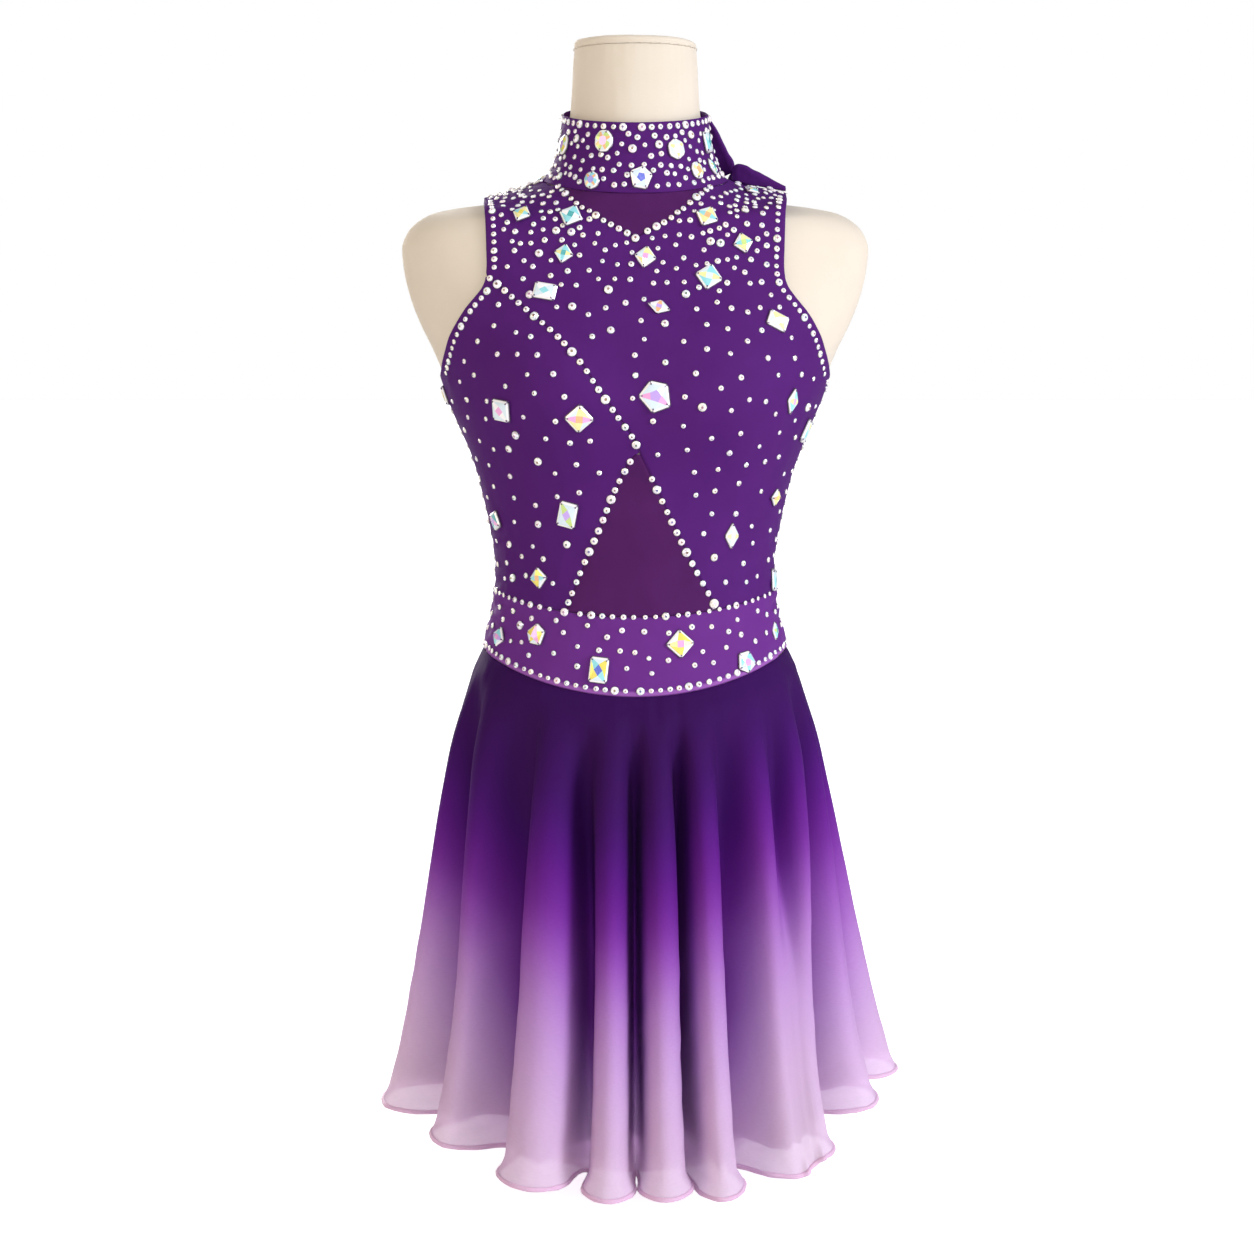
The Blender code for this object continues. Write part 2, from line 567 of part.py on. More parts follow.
def build_collar(mats):
    columns = 32
    heights = (COLLAR_TOP, 0.8050, 0.7870, COLLAR_LOW)
    rows = [[(float(level_of(z)), 2 * math.pi * k / columns) for k in range(columns)] for z in heights]
    points, faces = sheet_of_rows(rows, closed=True)
    p = np.array(points, float)
    rise = (form_at(p[:, 0])[:, 0] - COLLAR_LOW) / (COLLAR_TOP - COLLAR_LOW)
    off = CLOTH_GAP + 0.0028 * rise
    wall("collar", cloth_point(p[:, 0], p[:, 1], off + COLLAR_WALL), cloth_point(p[:, 0], p[:, 1], off), faces, mats["jersey"])


def build_waistband(mats):
    columns = 18
    for name, start in (("waistband_front", -math.pi / 2), ("waistband_back", math.pi / 2)):
        gap = SEAM_GAP / 2 / 0.080
        rows = []
        for share in (0.0, 0.5, 1.0):
            row = []
            for i in range(columns + 1):
                angle = start + gap + (math.pi - 2 * gap) * i / columns
                top = float(edge_height(WAIST_TOP, angle)) - SEAM_GAP * 0.8
                low = float(edge_height(WAIST_LOW, angle)) + SEAM_GAP / 2
                row.append((float(level_of(top + (low - top) * share)), angle))
            rows.append(row)
        bodice_panel(name, rows, mats["jersey"])


# ---------------------------------------------------------------- skirt
flare_at = smooth_through([r[0] for r in FLARE], [r[1] for r in FLARE])
COUNT = len(FLUTES)


def flute(k, column):
    turns, k = divmod(k, COUNT)
    value = FLUTES[k][column]
    return value + 360.0 * turns if column < 4 else value


# The flutes with a few more turns at either end, for a half that runs on past the last row.
FLUTE_TABLE = np.array([[flute(i, c) for c in range(10)] for i in range(-2, 2 * COUNT + 3)])


def skirt_point(u, v):
    """A point of the outer layer's outside.  u counts flutes round, v goes from the seam to the hem."""
    u, v = np.broadcast_arrays(np.asarray(u, float), np.asarray(v, float))
    k = np.floor(u).astype(int)
    t = u - k
    a, b = FLUTE_TABLE[k + 2], FLUTE_TABLE[k + 3]
    ease = soft_step(v / 0.9)
    crest = a[..., 0] + (a[..., 1] - a[..., 0]) * ease
    valley = a[..., 2] + (a[..., 3] - a[..., 2]) * ease
    after = b[..., 0] + (b[..., 1] - b[..., 0]) * ease
    grow = np.clip((v - FOLD_START) / (1 - FOLD_START), 0, 1)
    fold = (1 - (1 - grow) ** 2.4) * (1 - np.exp(-grow * 25.0))
    steep = np.where(t < 0.5, a[..., 7], a[..., 8]) * (1 - np.exp(-grow * 5.0))
    share = t + steep * (FOLD_WIDE / (2 * math.pi) * np.sin(2 * math.pi * t)
                         + FOLD_ROUND / (4 * math.pi) * np.sin(4 * math.pi * t))
    angle = np.radians(np.where(share < 0.5, crest + (valley - crest) * 2 * share, valley + (after - valley) * (2 * share - 1)))
    fading = 1 - a[..., 9] * soft_step((v - 0.25) / 0.45)
    depth = a[..., 4] * fading * (1 - np.cos(2 * math.pi * t)) / 2 * fold
    near = a[..., 5] * grow * (1 - a[..., 9] * (1 - grow))
    far = b[..., 5] * grow * (1 - b[..., 9] * (1 - grow))
    reach = near + (far - near) * soft_step(t)
    seam = edge_height(WAIST_LOW, angle) - SEAM_GAP / 2
    hem = edge_height(HEM, angle)
    level = level_of(seam)
    start = cloth_point(level, angle, CLOTH_GAP + BODICE_WALL)
    _, half, front, back, _, _ = np.moveaxis(form_at(level), -1, 0)
    c, s = np.cos(angle), np.sin(angle)
    side_on = np.where(c >= 0, front, back)
    out = np.stack([s / half, -c / side_on, np.zeros_like(s)], axis=-1)
    out /= np.linalg.norm(out, axis=-1, keepdims=True)
    share_out = np.where(c >= 0, 1 + (FLARE_FRONT - 1) * c * c, 1 + (FLARE_BACK - 1) * c * c)
    lift = a[..., 6] + (b[..., 6] - a[..., 6]) * soft_step(t)
    z = seam + (hem - seam) * v + lift * v * v
    # A valley stays clear of the form, and may deepen again below the form's end.
    body = cloth_point(level_of(np.maximum(z, 0.300)), angle, 0.0)
    room = (flare_at(v) * share_out + reach + ((start - body) * out).sum(axis=-1)
            - VALLEY_CLEAR * soft_step(v / 0.12) + 0.7 * np.maximum(0.282 - z, 0))
    room = np.maximum(room, 0.0004)
    depth = np.maximum(-0.0025 * np.log(np.exp(-depth / 0.0025) + np.exp(-room / 0.0025)), 0)
    point = start + out * (flare_at(v) * share_out + reach - depth)[..., None]
    point[..., 2] = z
    return point


def skirt_ring(v):
    """One level of the outer layer's outside, all round."""
    u = np.array([k + t for k in range(COUNT) for t in FLUTE_STEPS])
    return skirt_point(u, v)


def inset(ring, distance):
    """Moves a ring's sides inwards by a distance, in the level of the ring."""
    before, after = np.roll(ring, 1, axis=0), np.roll(ring, -1, axis=0)
    e1, e2 = ring - before, after - ring
    n1 = np.stack([-e1[:, 1], e1[:, 0]], axis=-1)
    n2 = np.stack([-e2[:, 1], e2[:, 0]], axis=-1)
    n1 /= np.linalg.norm(n1, axis=-1, keepdims=True)
    n2 /= np.linalg.norm(n2, axis=-1, keepdims=True)
    both = n1 + n2
    both /= np.maximum(1 + (n1 * n2).sum(axis=-1, keepdims=True), 0.35)
    out = ring.copy()
    out[:, :2] += both * distance
    return out


def half_of(ring, first, count):
    """A half of a ring, with a small gap left at both of its ends."""
    part = np.roll(ring, -first, axis=0)[:count + 1].copy()
    for end, mate in ((0, 1), (-1, -2)):
        way = part[mate] - part[end]
        part[end] += way / np.linalg.norm(way) * SEAM_GAP * 0.7
    return part


def build_skirt(mats):
    per = len(FLUTE_STEPS)
    total = COUNT * per
    seams = [k * per + SIDE_SEAM_STEP for k in SIDE_SEAM_AFTER]
    halves = (("front", seams[0], seams[1] - seams[0]), ("back", seams[1], total - (seams[1] - seams[0])))
    under_hem = 1 - UNDER_SHORTER / 0.370
    for where, first, count in halves:
        outer = [half_of(skirt_ring(v), first, count) for v in SKIRT_ROWS]
        inner = [half_of(inset(skirt_ring(v), SKIRT_WALL), first, count) for v in SKIRT_ROWS]
        _, faces = sheet_of_rows([list(r) for r in outer])
        wall("skirt_" + where, np.vstack(outer), np.vstack(inner), faces, mats["chiffon"], crowned=False)
        outer, inner = [], []
        for v in UNDER_ROWS + (under_hem,):
            drop = 0.0022 + (UNDER_DROP - 0.0022) * float(soft_step((v - 0.05) / 0.2))
            outer.append(half_of(inset(skirt_ring(v), drop), first, count))
            inner.append(half_of(inset(skirt_ring(v), drop + UNDER_WALL), first, count))
        _, faces = sheet_of_rows([list(r) for r in outer])
        wall("underskirt_" + where, np.vstack(outer), np.vstack(inner), faces, mats["chiffon"], crowned=False)


# ------------------------------------------------------------------ tie
def build_tie(mats):
    # The strip that comes down from the collar.
    rows = []
    for x, y, z, ring, angle, off in TIE_STRIP:
        edge = np.array([x, y, z])
        down = cloth_point(float(level_of(ring)), math.radians(angle), off) - edge
        rows.append([edge + down * k / 3 + np.array([0.0012, -0.0010, 0.0010]) * math.sin(math.pi * k / 3) for k in range(4)])
    grid = np.array(rows)
    n = np.cross(np.gradient(grid, axis=0), np.gradient(grid, axis=1))
    n /= np.linalg.norm(n, axis=-1, keepdims=True)
    points, faces = sheet_of_rows([list(r) for r in grid])
    flat = np.array(points)
    n = n.reshape(-1, 3)
    wall("tie_strip", flat + n * 0.0008, flat - n * 0.0008, faces, mats["jersey"])
    # The folded end: a hairpin section along its path.
    rows = []
    for x, y, z, high, thick in TIE_END:
        row = []
        half = thick / 2
        for k in range(9):
            if k <= 2:
                row.append((x, y - half, z - high + (high - half) * k / 2 - 0.0))
            elif k <= 5:
                t = math.pi * (k - 2) / 4
                row.append((x, y - half * math.cos(t), z - half + half * math.sin(t)))
            else:
                row.append((x, y + half, z - half - (high - half) * (k - 6) / 2 * 0.9))
        rows.append(row)
    grid = np.array(rows)
    n = np.cross(np.gradient(grid, axis=0), np.gradient(grid, axis=1))
    n /= np.linalg.norm(n, axis=-1, keepdims=True)
    points, faces = sheet_of_rows([list(r) for r in grid])
    flat = np.array(points)
    n = n.reshape(-1, 3)
    wall("tie_end", flat + n * 0.0006, flat - n * 0.0006, faces, mats["jersey"])
    # The knot, a soft rounded lump behind the shoulder.
    (kx, ky, kz), (rx, ry, rz) = TIE_KNOT["middle"], TIE_KNOT["half"]
    rows = []
    for j in range(7):
        lat = math.pi * (j + 0.4) / 6.8
        rows.append([(kx + rx * math.sin(lat) * math.sin(2 * math.pi * i / 12),
                      ky - ry * math.sin(lat) * math.cos(2 * math.pi * i / 12),
                      kz + rz * math.cos(lat)) for i in range(12)])
    points, faces = sheet_of_rows(rows, closed=True)
    faces.append(list(range(12)))
    faces.append([6 * 12 + k for k in reversed(range(12))])
    add_object("tie_knot", points, faces, mats["jersey"])


def build_all():
    mats = {
        "jersey": material("purple_jersey", PURPLE, 0.6),
        "mesh": material("purple_mesh", (0.085, 0.014, 0.100), 0.8),
        "chiffon": material("ombre_chiffon", (0.16, 0.03, 0.28), 0.7),
    }
    build_form()
    build_front(mats)
    build_back(mats)
    build_collar(mats)
    build_waistband(mats)
    build_skirt(mats)
    build_tie(mats)


build_all()
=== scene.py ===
"""Finish of the figure skating dress on its dress form.

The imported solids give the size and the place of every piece; the cloth, the
stones and the form's cover are made here as fine meshes on the same surfaces.
"""
import math

import bpy
import numpy as np
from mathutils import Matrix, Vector


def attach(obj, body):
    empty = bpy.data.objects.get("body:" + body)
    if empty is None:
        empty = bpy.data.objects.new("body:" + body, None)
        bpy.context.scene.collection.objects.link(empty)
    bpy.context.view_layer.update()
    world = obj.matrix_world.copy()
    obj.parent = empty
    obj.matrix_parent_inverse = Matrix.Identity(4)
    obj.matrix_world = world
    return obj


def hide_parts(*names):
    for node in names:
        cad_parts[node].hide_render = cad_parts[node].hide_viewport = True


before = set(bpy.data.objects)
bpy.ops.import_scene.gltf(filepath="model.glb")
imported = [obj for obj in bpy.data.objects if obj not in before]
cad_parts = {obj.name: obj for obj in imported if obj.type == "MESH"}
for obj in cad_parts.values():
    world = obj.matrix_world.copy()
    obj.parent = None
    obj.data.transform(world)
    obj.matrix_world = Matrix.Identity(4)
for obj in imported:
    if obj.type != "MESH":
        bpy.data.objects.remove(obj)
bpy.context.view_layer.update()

MM = 0.001

# ---------------------------------------------------------------- sizes (m)
SEAM_GAP = 0.0003
CLOTH_GAP = 0.0016
BODICE_OUT = 0.0028        # outside of the bodice, from the form
BODICE_THICK = 0.0008
CHIFFON_THICK = 0.0005
UNDER_SHORTER = 0.022      # how much the under layer ends above the hem
HEM_ROLL = 0.0018          # radius of the rolled hem

COLLAR_LOW, COLLAR_TOP = 0.7703, 0.8215
NECKLINE = 0.7693
SHOULDER_END = 0.7515
SIDE_SEAM_TOP = 0.6180
BODICE_LOW = 0.5000
V_APEX, DIAGONAL_TOP, TRIANGLE_TIP = 0.7270, 0.6950, 0.5620

BASE_RADIUS, BASE_HEIGHT = 0.092, 0.008
POST_RADIUS, POST_TOP = 0.0125, 0.2797
CAP_RADIUS, CAP_LOW, CAP_TOP = 0.0478, 0.8715, 0.8780

FORM_COLUMNS = ("z", "half_width", "front", "back", "lean", "power")
FORM = (
    (0.8712, 0.0474, 0.0462, 0.0480, 0.0000, 2.0),
    (0.8620, 0.0483, 0.0474, 0.0490, 0.0020, 2.0),
    (0.8450, 0.0492, 0.0492, 0.0506, 0.0060, 2.0),
    (0.8250, 0.0506, 0.0520, 0.0540, 0.0110, 2.0),
    (0.8060, 0.0535, 0.0540, 0.0585, 0.0124, 2.0),
    (0.7900, 0.0575, 0.0562, 0.0635, 0.0125, 2.0),
    (0.7780, 0.0625, 0.0580, 0.0675, 0.0125, 2.0),
    (0.7697, 0.0700, 0.0595, 0.0700, 0.0122, 2.0),
    (0.7640, 0.0820, 0.0606, 0.0715, 0.0112, 2.0),
    (0.7580, 0.0990, 0.0618, 0.0730, 0.0102, 2.05),
    (0.7515, 0.1180, 0.0630, 0.0745, 0.0090, 2.1),
    (0.7490, 0.1390, 0.0640, 0.0752, 0.0084, 2.1),
    (0.7455, 0.1575, 0.0652, 0.0760, 0.0076, 2.1),
    (0.7390, 0.1705, 0.0668, 0.0770, 0.0064, 2.1),
    (0.7300, 0.1790, 0.0690, 0.0785, 0.0048, 2.1),
    (0.7170, 0.1833, 0.0722, 0.0810, 0.0026, 2.1),
    (0.7000, 0.1817, 0.0768, 0.0842, 0.0008, 2.1),
    (0.6800, 0.1770, 0.0822, 0.0874, 0.0000, 2.1),
    (0.6600, 0.1695, 0.0870, 0.0895, 0.0000, 2.1),
    (0.6400, 0.1598, 0.0908, 0.0905, 0.0000, 2.1),
    (0.6200, 0.1514, 0.0930, 0.0902, 0.0000, 2.1),
    (0.6000, 0.1447, 0.0935, 0.0886, 0.0000, 2.1),
    (0.5800, 0.1364, 0.0918, 0.0860, 0.0000, 2.1),
    (0.5600, 0.1282, 0.0890, 0.0828, 0.0000, 2.1),
    (0.5400, 0.1214, 0.0867, 0.0790, 0.0000, 2.1),
    (0.5200, 0.1165, 0.0852, 0.0756, 0.0000, 2.1),
    (0.5000, 0.1122, 0.0843, 0.0730, 0.0000, 2.1),
    (0.4800, 0.1091, 0.0838, 0.0712, 0.0000, 2.1),
    (0.4650, 0.1082, 0.0837, 0.0707, 0.0000, 2.1),
    (0.4500, 0.1090, 0.0839, 0.0715, 0.0000, 2.1),
    (0.4350, 0.1109, 0.0845, 0.0740, 0.0000, 2.08),
    (0.4200, 0.1146, 0.0856, 0.0780, 0.0000, 2.06),
    (0.4050, 0.1180, 0.0870, 0.0825, 0.0000, 2.04),
    (0.3900, 0.1208, 0.0884, 0.0868, 0.0000, 2.02),
    (0.3700, 0.1232, 0.0898, 0.0910, 0.0000, 2.0),
    (0.3450, 0.1244, 0.0905, 0.0935, 0.0000, 2.0),
    (0.3200, 0.1240, 0.0900, 0.0935, 0.0000, 2.0),
    (0.3000, 0.1222, 0.0885, 0.0918, 0.0000, 2.0),
    (0.2880, 0.1190, 0.0855, 0.0888, 0.0000, 2.0),
    (0.2820, 0.1140, 0.0810, 0.0840, 0.0000, 2.0),
    (0.2800, 0.1080, 0.0755, 0.0785, 0.0000, 2.0),
)
BUST = {"x": 0.070, "z": 0.603, "reach": 0.0200, "wide": 0.042, "high": 0.040}

LINE_COLUMNS = ("z", "x")
NECK_V_LEFT = ((0.7697, -0.0590), (0.7587, -0.0458), (0.7415, -0.0225), (0.7290, -0.0030), (0.7270, -0.0006))
NECK_V_RIGHT = ((0.7697, 0.0575), (0.7614, 0.0450), (0.7432, 0.0248), (0.7290, 0.0030), (0.7270, 0.0006))
DIAGONAL = ((0.6950, -0.1128), (0.6865, -0.1025), (0.6727, -0.0870), (0.6462, -0.0567), (0.6248, -0.0385),
            (0.6105, -0.0290), (0.5906, -0.0146), (0.5703, -0.0003), (0.5620, 0.0030))
TRIANGLE_LEFT = ((0.5620, 0.0010), (0.5593, -0.0020), (0.5350, -0.0147), (0.5048, -0.0265), (0.4760, -0.0386),
                 (0.4408, -0.0525), (0.4350, -0.0548))
TRIANGLE_RIGHT = ((0.5620, 0.0032), (0.5461, 0.0108), (0.5235, 0.0207), (0.4856, 0.0381), (0.4408, 0.0613),
                  (0.4350, 0.0643))
ARMHOLE_FRONT = ((0.7515, 0.1180), (0.7490, 0.1162), (0.7413, 0.1142), (0.7160, 0.1130), (0.7035, 0.1126),
                 (0.6930, 0.1134), (0.6860, 0.1158), (0.6798, 0.1203), (0.6688, 0.1296), (0.6578, 0.1368),
                 (0.6468, 0.1425), (0.6358, 0.1462), (0.6290, 0.1482), (0.6225, 0.1500), (0.6180, 0.1507))
ARMHOLE_BACK = ((0.7515, 0.1180), (0.7490, 0.1160), (0.7413, 0.1135), (0.7200, 0.1110), (0.7000, 0.1085),
                (0.6850, 0.1110), (0.6700, 0.1190), (0.6550, 0.1310), (0.6400, 0.1415), (0.6290, 0.1478),
                (0.6225, 0.1500), (0.6180, 0.1507))
WRAP_MIDDLE = ((0.7270, 0.0000), (0.6950, 0.0060), (0.6400, 0.0240), (0.5700, 0.0480), (0.5000, 0.0700),
               (0.4350, 0.0850))

EDGE_COLUMNS = ("front", "side", "back")
WAIST_TOP = (0.4354, 0.4500, 0.4460)
WAIST_LOW = (0.3745, 0.4030, 0.3960)
HEM = (0.0150, 0.0370, 0.0350)

FLARE_COLUMNS = ("v", "out")
FLARE = ((0.00, 0.0000), (0.05, 0.0086), (0.11, 0.0164), (0.20, 0.0266), (0.29, 0.0335), (0.38, 0.0402),
         (0.47, 0.0462), (0.56, 0.0522), (0.65, 0.0582), (0.74, 0.0645), (0.83, 0.0715), (0.92, 0.0790),
         (1.00, 0.0865))
FLARE_FRONT, FLARE_BACK = 1.22, 1.10
FLUTE_COLUMNS = ("top", "hem", "next_top", "next_hem", "depth", "reach", "lift", "falls", "rises", "fade")
FLUTES = (
    (-112.0, -111.0, -96.0, -92.0, 0.058, -0.012, 0.008, 0.6, 0.6, 0.0),
    (-80.0, -73.0, -69.5, -59.0, 0.058, -0.002, 0.009, 0.2, 0.9, 0.0),
    (-58.0, -48.5, -37.0, -34.6, 0.060, -0.008, 0.006, 0.0, 1.0, 0.0),
    (-27.6, -24.0, -16.5, -12.9, 0.060, 0.004, 0.002, 0.7, 0.7, 0.0),
    (-7.6, -5.8, -0.6, 0.0, 0.066, 0.002, -0.001, 1.0, 0.7, 0.0),
    (7.4, 6.9, 13.6, 13.8, 0.066, 0.001, -0.001, 1.0, 0.7, 0.0),
    (20.5, 19.2, 29.0, 25.9, 0.056, 0.003, -0.003, 0.9, 0.0, 0.0),
    (41.5, 38.0, 52.5, 42.0, 0.042, -0.003, -0.004, 0.1, 0.2, 1.0),
    (62.5, 44.5, 70.0, 51.5, 0.060, 0.003, 0.007, 0.9, 0.2, 0.0),
    (80.0, 64.0, 88.0, 80.0, 0.056, -0.002, 0.019, 0.6, 0.6, 0.0),
    (98.0, 94.0, 110.0, 108.0, 0.062, 0.006, 0.019, 0.6, 0.6, 0.0),
    (121.0, 122.0, 133.0, 133.0, 0.064, 0.000, 0.002, 0.6, 0.4, 0.0),
    (145.0, 144.0, 155.0, 154.0, 0.060, 0.003, -0.002, 0.9, 0.3, 0.0),
    (166.0, 164.0, 176.0, 175.0, 0.064, -0.002, 0.002, 0.4, 0.9, 0.0),
    (187.0, 186.0, 198.0, 198.0, 0.062, 0.001, -0.001, 0.8, 0.5, 0.0),
    (210.0, 211.0, 222.0, 223.0, 0.064, 0.002, 0.001, 0.5, 0.8, 0.0),
    (232.0, 232.0, 241.0, 241.0, 0.062, 0.000, 0.002, 0.6, 0.6, 0.0),
)
FOLD_START = 0.03
FOLD_WIDE = 0.95
FOLD_ROUND = 0.80
VALLEY_CLEAR = 0.0075
SIDE_SEAM_AFTER = (0, 9)
SIDE_SEAM_SHARE = 0.42

STRIP_COLUMNS = ("x", "y", "z", "ring", "angle", "off")
TIE_STRIP = (
    (0.0572, 0.0250, 0.8222, 0.8120, 126.0, 0.0080),
    (0.0638, 0.0270, 0.8135, 0.8010, 124.0, 0.0078),
    (0.0696, 0.0290, 0.8020, 0.7890, 122.0, 0.0074),
    (0.0745, 0.0300, 0.7935, 0.7775, 122.0, 0.0062),
    (0.0780, 0.0310, 0.7868, 0.7685, 124.0, 0.0050),
    (0.0792, 0.0305, 0.7795, 0.7650, 126.0, 0.0042),
)
# How far the cloth stands up off the form at the outer end of each shoulder seam.
SHOULDER_LIFT = {"left": 0.0065, "right": 0.0030}
END_COLUMNS = ("x", "y", "z", "high", "thick")
TIE_END = (
    (0.0770, 0.0235, 0.7818, 0.0088, 0.0034),
    (0.0825, 0.0218, 0.7848, 0.0142, 0.0062),
    (0.0900, 0.0205, 0.7825, 0.0136, 0.0076),
    (0.0990, 0.0190, 0.7775, 0.0100, 0.0080),
    (0.1090, 0.0165, 0.7722, 0.0065, 0.0068),
    (0.1186, 0.0130, 0.7670, 0.0032, 0.0036),
)
TIE_KNOT = {"middle": (0.0850, 0.0440, 0.7750), "half": (0.0105, 0.0080, 0.0075)}


# ------------------------------------------------------------ curve tools
def smooth_through(xs, ys):
    """A smooth curve through rows of values that never overshoots them."""
    xs = np.asarray(xs, float)
    ys = np.asarray(ys, float)
    if ys.ndim == 1:
        ys = ys[:, None]
    h = np.diff(xs)
    d = np.diff(ys, axis=0) / h[:, None]
    m = np.zeros_like(ys)
    m[0], m[-1] = d[0], d[-1]
    for i in range(1, len(xs) - 1):
        w1, w2 = 2 * h[i] + h[i - 1], h[i] + 2 * h[i - 1]
        same = d[i - 1] * d[i] > 0
        with np.errstate(divide="ignore", invalid="ignore"):
            mean = (w1 + w2) / (w1 / d[i - 1] + w2 / d[i])
        m[i] = np.where(same, mean, 0.0)

    def at(x):
        x = np.clip(np.asarray(x, float), xs[0], xs[-1])
        k = np.clip(np.searchsorted(xs, x, side="right") - 1, 0, len(xs) - 2)
        t = ((x - xs[k]) / h[k])[..., None]
        hk = h[k][..., None]
        t2, t3 = t * t, t * t * t
        out = ((2 * t3 - 3 * t2 + 1) * ys[k] + (t3 - 2 * t2 + t) * hk * m[k]
               + (-2 * t3 + 3 * t2) * ys[k + 1] + (t3 - t2) * hk * m[k + 1])
        return out[..., 0] if ys.shape[1] == 1 else out

    return at


def soft_step(t):
    t = np.clip(t, 0.0, 1.0)
    return t * t * (3 - 2 * t)


def lattice(ix, iy, seed):
    """A repeatable number from -1 to 1 for each pair of whole numbers."""
    h = (ix.astype(np.int64) * 374761393 + iy.astype(np.int64) * 668265263 + seed * 974634777) & 0xFFFFFFFF
    h = ((h ^ (h >> 13)) * 1274126177) & 0xFFFFFFFF
    h = (h ^ (h >> 16)) & 0xFFFFFF
    return h / float(0xFFFFFF) * 2 - 1


def noise(x, y, seed=0):
    """Smooth noise from -1 to 1 over the plane."""
    x, y = np.broadcast_arrays(np.asarray(x, float), np.asarray(y, float))
    ix, iy = np.floor(x).astype(int), np.floor(y).astype(int)
    fx, fy = x - ix, y - iy
    fx, fy = fx * fx * (3 - 2 * fx), fy * fy * (3 - 2 * fy)
    a, b = lattice(ix, iy, seed), lattice(ix + 1, iy, seed)
    c, d = lattice(ix, iy + 1, seed), lattice(ix + 1, iy + 1, seed)
    return (a + (b - a) * fx) * (1 - fy) + (c + (d - c) * fx) * fy


# --------------------------------------------------------- the form's shape
form_at = smooth_through(range(len(FORM)), FORM)
LAST = len(FORM) - 1
_levels = np.linspace(0, LAST, 4001)
_heights = form_at(_levels)[:, 0]


def level_of(z):
    return np.interp(-np.asarray(z, float), -_heights, _levels)


def form_point(level, angle):
    """A point on the form; the angle is 0 in front and 90 degrees on the wearer's left."""
    level, angle = np.broadcast_arrays(np.asarray(level, float), np.asarray(angle, float))
    z, a, front, back, lean, power = np.moveaxis(form_at(level), -1, 0)
    c, s = np.cos(angle), np.sin(angle)
    depth = np.where(c >= 0, front, back)
    turn = np.arctan2(a * s, depth * c)
    r = ((np.abs(np.sin(turn)) / a) ** power + (np.abs(np.cos(turn)) / depth) ** power) ** (-1 / power)
    x, y = r * np.sin(turn), -r * np.cos(turn)
    z = z - lean * c
    mound = sum(np.exp(-((x - side * BUST["x"]) / BUST["wide"]) ** 2 / 2
                       - ((z - BUST["z"]) / BUST["high"]) ** 2 / 2) for side in (-1, 1))
    y = y - BUST["reach"] * mound * soft_step(c / 0.5)
    return np.stack([x, y, z], axis=-1)


def unit(v):
    return v / np.maximum(np.linalg.norm(v, axis=-1, keepdims=True), 1e-12)


def form_normal(level, angle):
    e = 1e-3
    down = form_point(np.clip(np.asarray(level) + e, 0, LAST), angle) - form_point(np.clip(np.asarray(level) - e, 0, LAST), angle)
    along = form_point(level, np.asarray(angle) + e) - form_point(level, np.asarray(angle) - e)
    return unit(np.cross(down, along))


def stood_up(points):
    """Cloth points with the outer ends of the shoulders standing up off the form."""
    x, z = points[..., 0], points[..., 2]
    high = np.where(x > 0, SHOULDER_LIFT["left"], SHOULDER_LIFT["right"])
    lift = high * soft_step((np.abs(x) - 0.078) / 0.040) * soft_step((z - 0.712) / 0.038)
    return points + np.stack([0 * x, 0 * x, lift], axis=-1)


def cloth_point(level, angle, out):
    level, angle = np.broadcast_arrays(np.asarray(level, float), np.asarray(angle, float))
    return stood_up(form_point(level, angle) + form_normal(level, angle) * np.broadcast_to(np.asarray(out, float), level.shape)[..., None])


def angle_at_x(level, x, behind=False):
    """The angle at which a ring has this x."""
    level, x = np.broadcast_arrays(np.asarray(level, float), np.asarray(x, float))
    low = np.full(level.shape, math.pi / 2 if behind else 0.0)
    high = np.full(level.shape, math.pi if behind else math.pi / 2)
    want = np.abs(x)
    for _ in range(32):
        mid = (low + high) / 2
        go = (form_point(level, mid)[..., 0] < want) != behind
        low, high = np.where(go, mid, low), np.where(go, high, mid)
    return np.where(x < 0, -1.0, 1.0) * (low + high) / 2


def line_x(line, z):
    return smooth_through([-row[0] for row in line], [row[1] for row in line])(-np.asarray(z, float))


def edge_height(edge, angle):
    front, side, back = edge
    c = np.cos(angle)
    return np.where(c >= 0, side + (front - side) * c * c, side + (back - side) * c * c)


# ---------------------------------------------------------------- materials
def srgb(r, g, b):
    return tuple((c / 255 / 12.92) if c / 255 <= 0.04045 else ((c / 255 + 0.055) / 1.055) ** 2.4 for c in (r, g, b)) + (1.0,)


